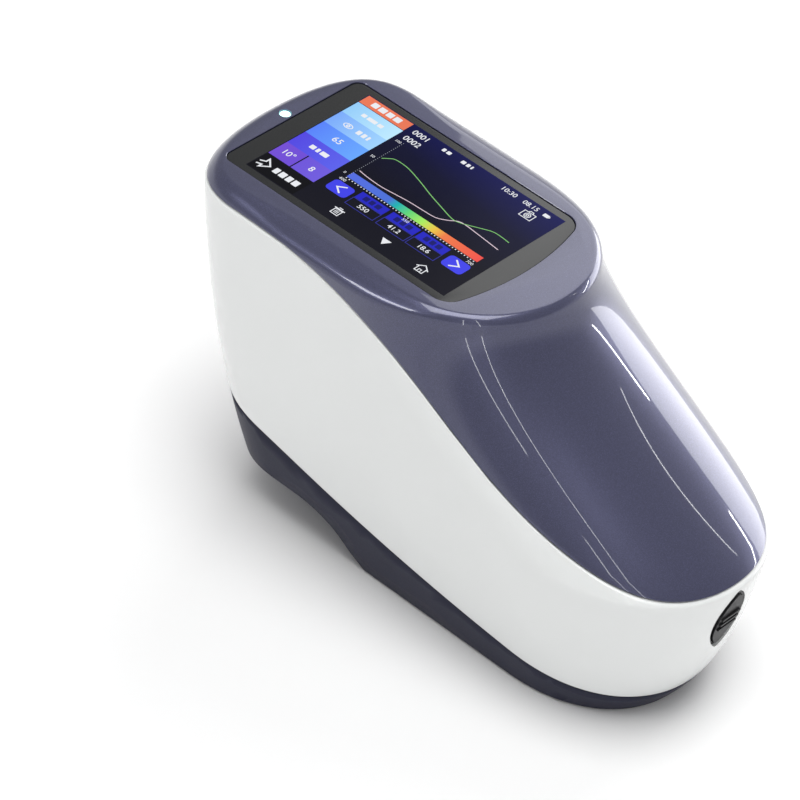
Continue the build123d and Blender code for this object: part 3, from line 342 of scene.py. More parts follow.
# Frames of the camera, the bin and the value cells: colour, two corners and the line
FRAMES = (
    ("white", (0.860, 0.850), (0.914, 0.908), 0.28),
    ("white", (0.396, 0.050), (0.430, 0.098), 0.32),
    ("line_blue", (0.394, 0.172), (0.534, 0.246), 0.25),
    ("line_blue", (0.551, 0.172), (0.691, 0.246), 0.25),
    ("line_blue", (0.701, 0.172), (0.841, 0.246), 0.25),
)

# White strokes of the arrow, the camera's top, the bin, the house and the two keys: line, layer and points
STROKES = (
    (0.5, 2, (
        (0.012, 0.082), (0.034, 0.100), (0.034, 0.130), (0.066, 0.082), (0.034, 0.036), (0.034, 0.062),
        (0.012, 0.050),
    )),
    (0.28, 2, ((0.875, 0.908), (0.880, 0.922), (0.894, 0.922), (0.899, 0.908))),
    (0.34, 2, ((0.388, 0.104), (0.438, 0.104))),
    (0.34, 2, ((0.404, 0.116), (0.422, 0.116))),
    (0.24, 2, ((0.406, 0.060), (0.406, 0.090))),
    (0.24, 2, ((0.413, 0.060), (0.413, 0.090))),
    (0.24, 2, ((0.420, 0.060), (0.420, 0.090))),
    (0.34, 2, ((0.818, 0.076), (0.846, 0.110), (0.874, 0.076))),
    (0.30, 2, ((0.828, 0.084), (0.828, 0.040), (0.864, 0.040), (0.864, 0.084))),
    (0.26, 2, ((0.840, 0.040), (0.840, 0.064), (0.852, 0.064), (0.852, 0.040))),
    (0.5, 3, ((0.342, 0.279), (0.310, 0.243), (0.342, 0.207))),
    (0.5, 3, ((0.896, 0.279), (0.928, 0.243), (0.896, 0.207))),
)

# Dotted axes: colour, how many dots, the step from one to the next, and the first dot's corners
DOTTED_AXES = (
    ("grey", 28, (0, 0.0165), (0.2885, 0.372), (0.2915, 0.378)),
    ("white", 44, (0.015, 0), (0.293, 0.338), (0.298, 0.3465)),
)

# The plot's two curves and their line
CURVE_LINE = 0.30
LOWER_CURVE = (
    (0.298, 0.446), (0.350, 0.436), (0.417, 0.433), (0.480, 0.443), (0.543, 0.454), (0.610, 0.458),
    (0.674, 0.465), (0.715, 0.500), (0.757, 0.544), (0.850, 0.537), (0.954, 0.522),
)
UPPER_CURVE = (
    (0.299, 0.625), (0.318, 0.655), (0.337, 0.676), (0.380, 0.679), (0.426, 0.667), (0.500, 0.632),
    (0.566, 0.596), (0.640, 0.562), (0.718, 0.529), (0.752, 0.535), (0.784, 0.556), (0.828, 0.590),
    (0.870, 0.619), (0.910, 0.622), (0.952, 0.616),
)


class Socket:
    """A node's output that Python's operators turn into more nodes."""

    def __init__(self, tree, output):
        self.tree = tree
        self.output = output

    def _math(self, operation, *values):
        return node(self.tree, "ShaderNodeMath", *values, settings={"operation": operation})

    def __add__(self, other):
        return self._math("ADD", self, other)

    __radd__ = __add__

    def __mul__(self, other):
        return self._math("MULTIPLY", self, other)

    __rmul__ = __mul__

    def __sub__(self, other):
        return self._math("SUBTRACT", self, other)

    def __rsub__(self, other):
        return self._math("SUBTRACT", other, self)

    def __truediv__(self, other):
        return self._math("DIVIDE", self, other)

    def __pow__(self, other):
        return self._math("POWER", self, other)

    def above(self, level):
        return self._math("GREATER_THAN", self, level)


def feed(tree, target, value):
    """Links a node's output to a socket, or sets the socket's value."""
    if isinstance(value, Socket):
        tree.links.new(value.output, target)
    else:
        target.default_value = value


def node(tree, kind, *values, settings=(), out=0, **named):
    """One shader node: its settings are set first, then the values or links of its sockets."""
    made = tree.nodes.new(kind)
    for key, value in dict(settings).items():
        if key == "stops":
            ramp = made.color_ramp
            while len(ramp.elements) < len(value):
                ramp.elements.new(0.5)
            for element, (position, colour) in zip(ramp.elements, value):
                element.position = position
                element.color = colour
        else:
            setattr(made, key, value)
    for index, value in enumerate(values):
        feed(tree, made.inputs[index], value)
    for name, value in named.items():
        feed(tree, made.inputs[name.replace("_", " ")], value)
    return Socket(tree, made.outputs[out])


def blended(tree, mask, first, second):
    """A colour between two colours, by a mask from 0 to 1."""
    made = tree.nodes.new("ShaderNodeMix")
    made.data_type = "RGBA"
    for index, value in ((0, mask), (6, first), (7, second)):
        feed(tree, made.inputs[index], value)
    return Socket(tree, made.outputs[2])


def place(tree):
    """The point on the object, in metres in the shared frame."""
    return node(tree, "ShaderNodeTexCoord", out="Object")


def along_axis(tree, axis):
    """How far along X, Y or Z a point of the object lies, in metres."""
    return node(tree, "ShaderNodeSeparateXYZ", place(tree), out=axis)


def noise(tree, scale, detail=2.0, roughness=0.5):
    """Soft noise with features of about 1/scale metres."""
    return node(
        tree, "ShaderNodeTexNoise", Vector=place(tree), Scale=scale, Detail=detail, Roughness=roughness
    )


def finish_of(name, colour, roughness=0.4, relief=None, depth=0.0, **shader):
    """A material on the Principled shader; sockets take values or makers of nodes, relief a row of noise."""
    material = bpy.data.materials.new("finish_" + name)
    material.use_nodes = True
    tree = material.node_tree
    tree.nodes.clear()
    output = tree.nodes.new("ShaderNodeOutputMaterial")
    skin = tree.nodes.new("ShaderNodeBsdfPrincipled")
    tree.links.new(skin.outputs[0], output.inputs[0])
    values = {"Base_Color": colour, "Roughness": roughness, **shader}
    for key, value in values.items():
        feed(tree, skin.inputs[key.replace("_", " ")], value(tree) if callable(value) else value)
    if relief:
        bump = node(tree, "ShaderNodeBump", Strength=1.0, Distance=depth, Height=noise(tree, *relief))
        tree.links.new(bump.output, skin.inputs["Normal"])
    return material


def finish(slot):
    """The finish made for one of the record's material slots."""
    return bpy.data.materials["finish_" + slot]


def nose_x(height):
    """X of the nose on the centre line: undercut below the tip, a long slope above it."""
    drop = (TIP_HEIGHT - height) / TIP_HEIGHT
    below = TIP_REACH + UNDERCUT[0] * drop + UNDERCUT[1] * drop**4
    if height < SLOPE_FROM:
        return below
    rise = (height - TIP_HEIGHT) / (HEIGHT - TIP_HEIGHT)
    above = TIP_REACH + SLOPE[0] * rise + SLOPE[1] * rise**2 + SLOPE[2] * rise**3
    return (below + above) / 2 - sqrt(((above - below) / 2) ** 2 + TIP_ROUND**2)


def back_x(height):
    """X of the tall end on the centre line, leaning in towards the base."""
    reach, power = BACK_LEAN
    return TALL_END + reach * (1 - height / HEIGHT) ** power


def half_width(height):
    """Half of the body's width, drawn in towards the base."""
    reach, power = WIDTH_TAPER
    return HALF_WIDTH - reach * max(1 - height / TAPER_BELOW, 0) ** power


def nose_length(height):
    """Length of the rounded nose in plan."""
    reach, power = NOSE_SHORTER
    return NOSE_LENGTH - reach * (1 - height / HEIGHT) ** power


def cubic(points, along):
    """A point on a Bezier curve of four points."""
    a, b, c, d = (Vector(p) for p in points)
    rest = 1 - along
    return a * rest**3 + b * (3 * rest**2 * along) + c * (3 * rest * along**2) + d * along**3


def half_columns():
    """The places round one half of the body: which of its three stretches, and how far along it."""
    places = [("nose", i / NOSE_COLUMNS) for i in range(NOSE_COLUMNS)]
    places += [("side", i / SIDE_COLUMNS) for i in range(SIDE_COLUMNS)]
    return places + [("corner", i / CORNER_COLUMNS) for i in range(CORNER_COLUMNS + 1)]


HALF = half_columns()
# Once round the body: the +Y half from nose to tall end, then the -Y half back without the two end points.
COLUMNS = [(stretch, along, 1) for stretch, along in HALF]
COLUMNS += [(stretch, along, -1) for stretch, along in reversed(HALF[1:-1])]


def body_point(column, height, inset=0.0):
    """A point of the body's wall at one column and height, moved in by a wall thickness."""
    stretch, along, side = column
    level = min(max(height, inset), HEIGHT - inset)
    rise = nose_x(level + SLOPE_STEP) - nose_x(level - SLOPE_STEP)
    slope = rise / (2 * SLOPE_STEP) if inset else 0
    nose = nose_x(level) - inset * sqrt(1 + slope**2)
    back = back_x(level) + inset
    edge = side * (half_width(level) - inset)
    front_start = nose - nose_length(level) + inset
    back_start = back + CORNER_LENGTH - inset
    if stretch == "nose":
        pull = NOSE_FULLNESS * (nose - front_start)
        ends = ((nose, 0), (nose, NOSE_FULLNESS * edge), (front_start + pull, edge), (front_start, edge))
        flat = cubic(ends, along)
    elif stretch == "side":
        flat = Vector((front_start + (back_start - front_start) * along, edge))
    else:
        pull = CORNER_FULLNESS * (back_start - back)
        ends = ((back_start, edge), (back_start - pull, edge), (back, CORNER_FULLNESS * edge), (back, 0))
        flat = cubic(ends, along)
    return Vector((flat.x, flat.y, level))


def natural_spline(points, end_slope=None):
    """A smooth curve through points in order of x, as a function of x; the ends are level or free."""
    xs = [p[0] for p in points]
    zs = [p[1] for p in points]
    last = len(points) - 1
    steps = [xs[i + 1] - xs[i] for i in range(last)]
    slopes = [(zs[i + 1] - zs[i]) / steps[i] for i in range(last)]
    diagonal, right = [1.0] * (last + 1), [0.0] * (last + 1)
    lower, upper = [0.0] * (last + 1), [0.0] * (last + 1)
    for i in range(1, last):
        lower[i], diagonal[i], upper[i] = steps[i - 1], 2 * (steps[i - 1] + steps[i]), steps[i]
        right[i] = 6 * (slopes[i] - slopes[i - 1])
    if end_slope is not None:
        diagonal[0], upper[0], right[0] = 2 * steps[0], steps[0], 6 * (slopes[0] - end_slope)
        lower[last], diagonal[last], right[last] = steps[-1], 2 * steps[-1], 6 * (end_slope - slopes[-1])
    for i in range(1, last + 1):
        factor = lower[i] / diagonal[i - 1]
        diagonal[i] -= factor * upper[i - 1]
        right[i] -= factor * right[i - 1]
    bend = [0.0] * (last + 1)
    bend[last] = right[last] / diagonal[last]
    for i in range(last - 1, -1, -1):
        bend[i] = (right[i] - upper[i] * bend[i + 1]) / diagonal[i]

    def curve(x):
        x = min(max(x, xs[0]), xs[-1])
        i = min(max(sum(1 for start in xs[1:-1] if start < x), 0), last - 1)
        near, far, h = x - xs[i], xs[i + 1] - x, steps[i]
        return (
            (bend[i] * far**3 + bend[i + 1] * near**3) / (6 * h)
            + (zs[i] / h - bend[i] * h / 6) * far
            + (zs[i + 1] / h - bend[i + 1] * h / 6) * near
        )

    return curve


cover_seam = natural_spline(COVER_SEAM, end_slope=0.0)
base_seam = natural_spline(BASE_SEAM)


def crossing(low, high, is_below):
    """Where a test stops holding between two values, found by halving the range."""
    for _ in range(HALVINGS):
        middle = (low + high) / 2
        if is_below(middle):
            low = middle
        else:
            high = middle
    return low


def seam_height(column, seam, shift):
    """The height at which one column of the wall meets a seam."""
    def is_below(height):
        point = body_point(column, height)
        return point.z < seam(point.x) + shift
    return crossing(*SEAM_SEARCH, is_below)


def new_object(name, data):
    """A new object in the scene."""
    made = bpy.data.objects.new(name, data)
    bpy.context.scene.collection.objects.link(made)
    return made


def mesh_data(name, mesh):
    """Turns a bmesh into mesh data."""
    data = bpy.data.meshes.new(name)
    mesh.to_mesh(data)
    mesh.free()
    return data


def vertices_in(geometry):
    """The vertices among what an operator made."""
    return [part for part in geometry if isinstance(part, bmesh.types.BMVert)]


def add_ring(mesh, points):
    """A closed loop of edges through points, from a created circle."""
    ring = bmesh.ops.create_circle(mesh, segments=len(points), radius=1.0)["verts"]
    for vertex, point in zip(ring, points):
        vertex.co = point * MM
    return ring


def grow_ring(mesh, ring, points):
    """Extrudes a closed loop into a wall that ends at new points, one for each of its vertices."""
    edges = [mesh.edges.get((ring[i], ring[i - 1])) for i in range(len(ring))]
    new = set(vertices_in(bmesh.ops.extrude_edge_only(mesh, edges=edges)["geom"]))
    grown = []
    for vertex, point in zip(ring, points):
        twin = next(e.other_vert(vertex) for e in vertex.link_edges if e.other_vert(vertex) in new)
        twin.co = point * MM
        grown.append(twin)
    return grown


def piece_from(mesh, name, slot, replaced=(), material=None):
    """Turns a bmesh into a finished piece of the root body that stands for CAD nodes."""
    bmesh.ops.remove_doubles(mesh, verts=mesh.verts, dist=MERGE_DISTANCE)
    bmesh.ops.recalc_face_normals(mesh, faces=mesh.faces)
    data = mesh_data(name, mesh)
    data.shade_smooth()
    data.materials.append(material or finish(slot))
    piece = new_object(name, data)
    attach(piece, "root")
    if replaced:
        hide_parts(*replaced)
    return piece


def sharpen(piece, angle):
    """Keeps edges sharper than an angle in degrees crisp under smooth shading."""
    piece.data.set_sharp_from_angle(angle=radians(angle))


def prism(points, depth):
    """A closed bmesh: an outline of points in metres, carried along a vector."""
    mesh = bmesh.new()
    ring = bmesh.ops.create_circle(mesh, segments=len(points), radius=1.0, cap_ends=True)["verts"]
    for vertex, point in zip(ring, points):
        vertex.co = point
    made = bmesh.ops.extrude_face_region(mesh, geom=mesh.faces[:])["geom"]
    bmesh.ops.translate(mesh, verts=vertices_in(made), vec=depth)
    bmesh.ops.recalc_face_normals(mesh, faces=mesh.faces)
    return mesh


def cut_by(piece, mesh):
    """Cuts a closed bmesh out of a piece."""
    data = mesh_data("cutter", mesh)
    cutter = new_object("cutter", data)
    cut = piece.modifiers.new("cut", "BOOLEAN")
    cut.operation = "DIFFERENCE"
    cut.solver = "EXACT"
    cut.object = cutter
    graph = bpy.context.evaluated_depsgraph_get()
    result = bpy.data.meshes.new_from_object(piece.evaluated_get(graph))
    piece.modifiers.remove(cut)
    old = piece.data
    piece.data = result
    bpy.data.meshes.remove(old)
    bpy.data.objects.remove(cutter)
    bpy.data.meshes.remove(data)


def edge_reach(column):
    """The top edge's reach over the deck and down the wall at one column."""
    stretch, along, _ = column
    start, end, share = {
        "nose": (EDGE_FRONT, EDGE_SIDE, 2 * along - 1),
        "side": (EDGE_SIDE, EDGE_BACK, 2 * along - 1),
        "corner": (EDGE_BACK, EDGE_BACK, 0),
    }[stretch]
    share = min(max(share, 0), 1)
    share = share * share * (3 - 2 * share)
    return [a + (b - a) * share for a, b in zip(start, end)]


def top_edge(index):
    """At one column, the rounded top edge's start on the wall, the corner it cuts and its end on the deck."""
    column = COLUMNS[index]
    corner = body_point(column, HEIGHT)
    ahead = body_point(COLUMNS[(index + 1) % len(COLUMNS)], HEIGHT)
    behind = body_point(COLUMNS[index - 1], HEIGHT)
    along = (ahead - behind).normalized()
    inward = Vector((0, 0, 1)).cross(along)
    down = body_point(column, HEIGHT - EDGE_PROBE) - corner
    down -= along * down.dot(along)
    down.normalize()
    over, drop = edge_reach(column)
    return body_point(column, (corner + down * drop).z), corner, corner + inward * over


TOP_EDGES = [top_edge(index) for index in range(len(COLUMNS))]


def edge_point(index, share):
    """A point on the rounded top edge at one column: 0 on the wall, 1 on the deck."""
    start, corner, deck_end = TOP_EDGES[index]
    return cubic((start, start.lerp(corner, EDGE_PULL), deck_end.lerp(corner, EDGE_PULL), deck_end), share)


def edge_share(index, height):
    """How far round the top edge a height lies at one column, 0 where it lies below."""
    if height <= TOP_EDGES[index][0].z:
        return 0.0
    return crossing(0.0, 1.0, lambda share: edge_point(index, share).z < height)


def wall_ring(height_of, inset=0.0):
    """Points of one loop round the body, each column at its own height, drawn in with the top edge."""
    points = []
    for index, column in enumerate(COLUMNS):
        height = height_of(index)
        share = edge_share(index, height)
        shift = edge_point(index, share) - body_point(column, height) if share else Vector()
        points.append(body_point(column, height, inset) + shift)
    return points


def grow_wall(mesh, ring, count, height_of, inset=0.0):
    """Extrudes a loop round the body in several rings; heights follow a column and a share from 0 to 1."""
    for step in range(1, count + 1):
        ring = grow_ring(mesh, ring, wall_ring(lambda i: height_of(i, step / count), inset))
    return ring


def arc(centre, radius, start, end, count, closed=False):
    """Points along an arc in plan, angles in radians, with its end point only where it is closed."""
    turns = [start + (end - start) * i / count for i in range(count + closed)]
    return [Vector((centre[0] + radius * cos(a), centre[1] + radius * sin(a), 0)) for a in turns]


def glass_loop(grow, height):
    """The display glass in plan, grown by a margin: bowed front edge, rounded corners."""
    back, front, half = GLASS_BACK - grow, GLASS_FRONT + grow, GLASS_HALF + grow
    back_round, front_round = GLASS_BACK_ROUND + grow, GLASS_FRONT_ROUND + grow
    bow_radius = (half**2 + GLASS_BOW**2) / (2 * GLASS_BOW)
    bow_centre = front + GLASS_BOW - bow_radius
    corner_x = bow_centre + sqrt((bow_radius - front_round) ** 2 - (half - front_round) ** 2)
    turn = atan2(half - front_round, corner_x - bow_centre)
    bow, front_corner, side, back_corner, rear = GLASS_STEPS
    upper = arc((bow_centre, 0), bow_radius, 0, turn, bow)
    upper += arc((corner_x, half - front_round), front_round, turn, pi / 2, front_corner)
    straight = corner_x - (back + back_round)
    upper += [Vector((corner_x - straight * i / side, half, 0)) for i in range(side)]
    upper += arc((back + back_round, half - back_round), back_round, pi / 2, pi, back_corner)
    upper += [Vector((back, (half - back_round) * (1 - i / rear), 0)) for i in range(rear + 1)]
    lower = [Vector((p.x, -p.y, 0)) for p in reversed(upper[1:-1])]
    return [p + Vector((0, 0, height)) for p in upper + lower]


def pointed_oval(tall, wide, tip):
    """Two equal arcs that meet in rounded points above and below, in plan."""
    radius = (tall**2 + wide**2) / (4 * wide)
    offset = radius - wide / 2
    tip_centre = sqrt((radius - tip) ** 2 - offset**2)
    turn = atan2(tip_centre, offset)
    side, end = OVAL_STEPS
    half = arc((-offset, 0), radius, -turn, turn, side) + arc((0, tip_centre), tip, turn, pi - turn, end)
    return half + [-point for point in half]


def rounded_box(wide, tall, corner):
    """A rectangle with round corners, in plan."""
    points = []
    for quarter, (x, y) in enumerate(((1, 1), (-1, 1), (-1, -1), (1, -1))):
        centre = (x * (wide / 2 - corner), y * (tall / 2 - corner))
        start = quarter * pi / 2
        points += arc(centre, corner, start, start + pi / 2, CORNER_STEPS, closed=True)
    return points


def build_cover(sizes):
    """The lacquered top cover: seam edge, walls, rounded top edge, deck and the seat of the glass."""
    mesh = bmesh.new()
    gap = sizes.seam_gap / MM / 2
    seams = [seam_height(column, cover_seam, gap) for column in COLUMNS]
    ring = add_ring(mesh, wall_ring(lambda i: seams[i], WALL))
    for inset, rise in COVER_RIM:
        ring = grow_ring(mesh, ring, wall_ring(lambda i: seams[i] + rise, inset))
    starts = [seam + COVER_RIM[-1][1] for seam in seams]
    tops = [max(edge[0].z, start) for edge, start in zip(TOP_EDGES, starts)]
    ring = grow_wall(mesh, ring, WALL_RINGS, lambda i, s: starts[i] + (tops[i] - starts[i]) * s)
    passed = [edge_share(i, top) for i, top in enumerate(tops)]
    for step in range(1, EDGE_RINGS + 1):
        share = step / EDGE_RINGS
        ring = grow_ring(mesh, ring, [edge_point(i, p + (1 - p) * share) for i, p in enumerate(passed)])
    bmesh.ops.contextual_create(mesh, geom=ring)
    ceiling = SEAT_FLOOR - SEAT_THICK
    inner = add_ring(mesh, wall_ring(lambda i: ceiling, WALL))
    bmesh.ops.contextual_create(mesh, geom=inner)
    grow_wall(mesh, inner, INNER_RINGS, lambda i, s: ceiling * (1 - s) + seams[i] * s, WALL)
    cover = piece_from(mesh, "cover_lacquered", "cover_paint", ["top_cover"])

    seat = bmesh.new()
    start = ceiling - CUT_BELOW_CEILING
    profile = (
        (-SEAT_LEDGE, start), (-SEAT_LEDGE, SEAT_FLOOR), (GLASS_GAP, SEAT_FLOOR),
        (GLASS_GAP, HEIGHT - SEAT_CHAMFER), (GLASS_GAP + 2 * SEAT_CHAMFER, HEIGHT + SEAT_CHAMFER),
    )
    ring = add_ring(seat, glass_loop(*profile[0]))
    bmesh.ops.contextual_create(seat, geom=ring)
    for grow, height in profile[1:]:
        ring = grow_ring(seat, ring, glass_loop(grow, height))
    bmesh.ops.contextual_create(seat, geom=ring)
    bmesh.ops.recalc_face_normals(seat, faces=seat.faces)
    cut_by(cover, seat)
    low = Vector((0, 0, start))
    hole = [(low + p) * MM for p in arc((STATUS_X, 0), STATUS_HOLE, 0, 2 * pi, HOLE_STEPS)]
    cut_by(cover, prism(hole, (0, 0, STATUS_CUT * MM)))
    sharpen(cover, CREASE)


def build_shell(sizes):
    """The white side shell: rounded lip, wall, button opening and connector window."""
    mesh = bmesh.new()
    gap = sizes.seam_gap / MM / 2
    lip = sizes.lip_round / MM
    tops = [seam_height(column, cover_seam, -gap) for column in COLUMNS]
    lows = [seam_height(column, base_seam, gap) for column in COLUMNS]
    ring = add_ring(mesh, wall_ring(lambda i: tops[i] - LIP_CHAMFER, WALL))
    ring = grow_ring(mesh, ring, wall_ring(lambda i: tops[i] - LIP_DROP, WALL - LIP_CHAMFER))
    for step in range(LIP_RINGS + 1):
        turn = pi / 2 * step / LIP_RINGS
        inset, drop = lip * (1 - sin(turn)), lip * (1 - cos(turn))
        ring = grow_ring(mesh, ring, wall_ring(lambda i: tops[i] - drop, inset))
    # Rings gather at the tip's height, where the wall turns from the slope to the undercut.
    heads = [top - lip for top in tops]
    knees = [min(TIP_HEIGHT, head) for head in heads]
    feet = [low + SHELL_FOOT_START for low in lows]
    ring = grow_wall(mesh, ring, WALL_RINGS, lambda i, s: knees[i] + (heads[i] - knees[i]) * (1 - s) ** 2)
    ring = grow_wall(mesh, ring, WALL_RINGS, lambda i, s: knees[i] + (feet[i] - knees[i]) * s**2)
    for inset, rise in SHELL_FOOT:
        ring = grow_ring(mesh, ring, wall_ring(lambda i: lows[i] + rise, inset))
    rims = [top - LIP_CHAMFER for top in tops]
    grow_wall(mesh, ring, INNER_RINGS, lambda i, s: lows[i] * (1 - s) + rims[i] * s, WALL)
    shell = piece_from(mesh, "shell_white", "shell_white", ["side_shell"])

    tilt = radians(BUTTON_TILT)
    across, upward = Vector((0, 1, 0)), Vector((sin(tilt), 0, cos(tilt)))
    outward = Vector((cos(tilt), 0, -sin(tilt)))
    start = Vector(BUTTON_AT) + outward * BUTTON_CUT[0]
    rim_points = [(start + across * p.x + upward * p.y) * MM for p in pointed_oval(*BUTTON_OPENING)]
    cut_by(shell, prism(rim_points, outward * (BUTTON_CUT[1] - BUTTON_CUT[0]) * MM))
    x, z = WINDOW_MID
    window = [Vector((x + p.x, WINDOW_CUT[0], z + p.y)) * MM for p in rounded_box(*WINDOW_SIZE, WINDOW_ROUND)]
    cut_by(shell, prism(window, Vector((0, WINDOW_CUT[1] - WINDOW_CUT[0], 0)) * MM))
    sharpen(shell, SOFT_CREASE)


def build_glass(sizes):
    """The display's cover glass, with its polished edge."""
    mesh = bmesh.new()
    edge = sizes.glass_edge / MM
    ring = add_ring(mesh, glass_loop(0, GLASS_TOP - GLASS_THICK))
    bmesh.ops.contextual_create(mesh, geom=ring)
    for step in range(LIP_RINGS + 1):
        turn = pi / 2 * step / LIP_RINGS
        grow, height = -edge * (1 - cos(turn)), GLASS_TOP - edge * (1 - sin(turn))
        ring = grow_ring(mesh, ring, glass_loop(grow, height))
    bmesh.ops.contextual_create(mesh, geom=ring)
    sharpen(piece_from(mesh, "glass_black", "display_glass", ["display_glass"]), SOFT_CREASE)


def srgb(red, green, blue):
    """A colour given as 0 to 255 on a screen, as the linear colour with alpha that shaders take."""
    def linear(value):
        share = value / 255
        return share / 12.92 if share <= 0.04045 else ((share + 0.055) / 1.055) ** 2.4
    return (linear(red), linear(green), linear(blue), 1.0)


def flecked(colour):
    """Metal flakes in lacquer: fine random cells that catch more or less light."""
    gain, power, scale = FLAKES
    bright = tuple(min(gain * c, 1) for c in colour) + (1,)

    def made(tree):
        cells = node(tree, "ShaderNodeTexVoronoi", Vector=place(tree), Scale=scale, out="Color")
        value = node(tree, "ShaderNodeSeparateColor", cells)
        return blended(tree, value ** power, (*colour, 1), bright)
    return made


def varied(colour, scale, depth):
    """A colour that drifts a little darker in soft patches."""
    darker = tuple(c * (1 - depth) for c in colour[:3]) + (1,)
    return lambda tree: blended(tree, noise(tree, scale), darker, tuple(colour[:3]) + (1,))


def uneven(level, drift, scale):
    """A roughness that drifts about its level."""
    return lambda tree: noise(tree, scale) * (2 * drift) + (level - drift)


def pipe_glow(tree):
    """The status light's glow, which only its top gives off."""
    mask = along_axis(tree, "Z").above(PIPE_GLOW_FROM * MM)
    return blended(tree, mask, (0, 0, 0, 1), srgb(*STATUS_COLOUR))


def make_finishes(look):
    """Every finish, named as the record's material slots."""
    finish_of(
        "cover_paint", flecked(look.cover_colour[:3]), uneven(*LACQUER_ROUGHNESS), *LACQUER_RELIEF,
        Metallic=0.5, Coat_Weight=1.0, Coat_Roughness=0.03,
    )
    for slot, (colour, patches, roughness, relief, depth, more) in SHOWN_FINISHES.items():
        finish_of(slot, varied(getattr(look, colour), *patches), uneven(*roughness), relief, depth, **more)
    finish_of(
        "light_pipe", PIPE_COLOUR, uneven(*PIPE_ROUGHNESS), Emission_Color=pipe_glow,
        Emission_Strength=look.status_glow,
    )
    for slot, (colour, roughness, metal) in PLAIN_FINISHES.items():
        skin = varied(srgb(*colour), *PLAIN_PATCHES)
        finish_of(slot, skin, uneven(roughness, *PLAIN_DRIFT), *PLAIN_RELIEF, Metallic=metal)


def dress_nodes():
    """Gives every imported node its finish, and joins its triangles so that curves shade smoothly."""
    slots = {part["node"]: part["material_slot"] for part in frame["record"]["subparts"]}
    for name, part in frame["nodes"].items():
        part.data.materials.clear()
        part.data.materials.append(finish(slots[name]))
        weld = part.modifiers.new("weld", "WELD")
        weld.merge_threshold = WELD_DISTANCE


def screen_point(across, up, layer=MARK_LAYER):
    """A point of the lit display: 0 to 1 from the tall end to the nose, 0 to 1 from -Y to +Y."""
    x = SCREEN_MID_X + (across - 0.5) * SCREEN_LENGTH
    return Vector((x, (up - 0.5) * SCREEN_WIDTH, SCREEN_TOP + layer * LAYER_STEP))


def tile(mesh, low, high, layer=1, corner=0.0):
    """A flat field of the display between two corners, given in shares of the lit area."""
    start = screen_point(*low, layer)
    size = screen_point(*high, layer) - start
    made = bmesh.ops.create_grid(mesh, x_segments=1, y_segments=1, size=0.5)["verts"]
    for vertex in made:
        spot = Vector(((vertex.co.x + 0.5) * size.x, (vertex.co.y + 0.5) * size.y, 0))
        vertex.co = (start + spot) * MM
    if corner:
        bmesh.ops.bevel(
            mesh, geom=made, offset=corner * MM, segments=ROUND_STEPS, affect="VERTICES", profile=0.5,
            material=-1,
        )


def ribbon(mesh, spots, width, layer=MARK_LAYER, closed=False):
    """A flat line of the display through points in shares of the lit area."""
    points = [screen_point(*spot, layer) for spot in spots]
    count = len(points)
    sides = []
    for i, point in enumerate(points):
        ahead = points[(i + 1) % count] if closed or i + 1 < count else point
        behind = points[i - 1] if closed or i else point
        out = (ahead - point).normalized() if ahead != point else Vector()
        back = (point - behind).normalized() if behind != point else Vector()
        along = (out + back).normalized()
        side = Vector((-along.y, along.x, 0))
        stretch = max(along.dot(out if out.length else back), SHARPEST_JOIN)
        sides.append((point + side * width / 2 / stretch, point - side * width / 2 / stretch))
    if closed:
        sides.append(sides[0])
    left, right = (mesh.verts.new(p * MM) for p in sides[0])
    edge = mesh.edges.new((left, right))
    for first, second in sides[1:]:
        new = vertices_in(bmesh.ops.extrude_edge_only(mesh, edges=[edge])["geom"])
        twin = next(e.other_vert(left) for e in left.link_edges if e.other_vert(left) in new)
        other = next(v for v in new if v is not twin)
        twin.co, other.co = first * MM, second * MM
        left, right = twin, other
        edge = mesh.edges.get((left, right))


def numbers(mesh, text, spot, size, bold=0.0):
    """Plain figures on the display, centred on a point."""
    curve = bpy.data.curves.new("figures", "FONT")
    curve.body = text
    curve.size = size * MM
    curve.align_x, curve.align_y = "CENTER", "CENTER"
    curve.offset = bold * MM
    curve.resolution_u = FIGURE_CURVE_STEPS
    holder = bpy.data.objects.new("figures", curve)
    flat = bpy.data.meshes.new_from_object(holder)
    flat.transform(Matrix.Translation(screen_point(*spot) * MM))
    mesh.from_mesh(flat)
    bpy.data.objects.remove(holder)
    bpy.data.curves.remove(curve)
    bpy.data.meshes.remove(flat)


def word_bars(mesh, spot, widths, tall):
    """Short bars in place of a word, centred on a point; sizes in millimetres."""
    across, up = spot
    half = tall / 2 / SCREEN_WIDTH
    start = -(sum(widths) + BAR_GAP * (len(widths) - 1)) / 2
    for width in widths:
        low = (across + start / SCREEN_LENGTH, up - half)
        high = (across + (start + width) / SCREEN_LENGTH, up + half)
        tile(mesh, low, high, MARK_LAYER, BAR_ROUND)
        start += width + BAR_GAP


def oval(spot, wide, tall, count):
    """Points round an ellipse on the display; sizes in millimetres."""
    turns = [2 * pi * i / count for i in range(count)]
    return [
        (spot[0] + wide / 2 * cos(t) / SCREEN_LENGTH, spot[1] + tall / 2 * sin(t) / SCREEN_WIDTH)
        for t in turns
    ]


def outline_box(mesh, low, high, width):
    """A thin rectangular frame on the display."""
    ribbon(mesh, [low, (high[0], low[1]), high, (low[0], high[1])], width, closed=True)


def smoothed(spots, parts=4):
    """More points on a smooth line through the given ones."""
    made = []
    for i in range(len(spots) - 1):
        before = spots[max(i - 1, 0)]
        start, end = spots[i], spots[i + 1]
        after = spots[min(i + 2, len(spots) - 1)]
        for step in range(parts):
            t = step / parts
            made.append(tuple(
                s + 0.5 * (e - b) * t
                + (b - 2.5 * s + 2 * e - 0.5 * a) * t**2
                + (1.5 * s - 0.5 * b - 1.5 * e + 0.5 * a) * t**3
                for b, s, e, a in zip(before, start, end, after)
            ))
    return made + [spots[-1]]


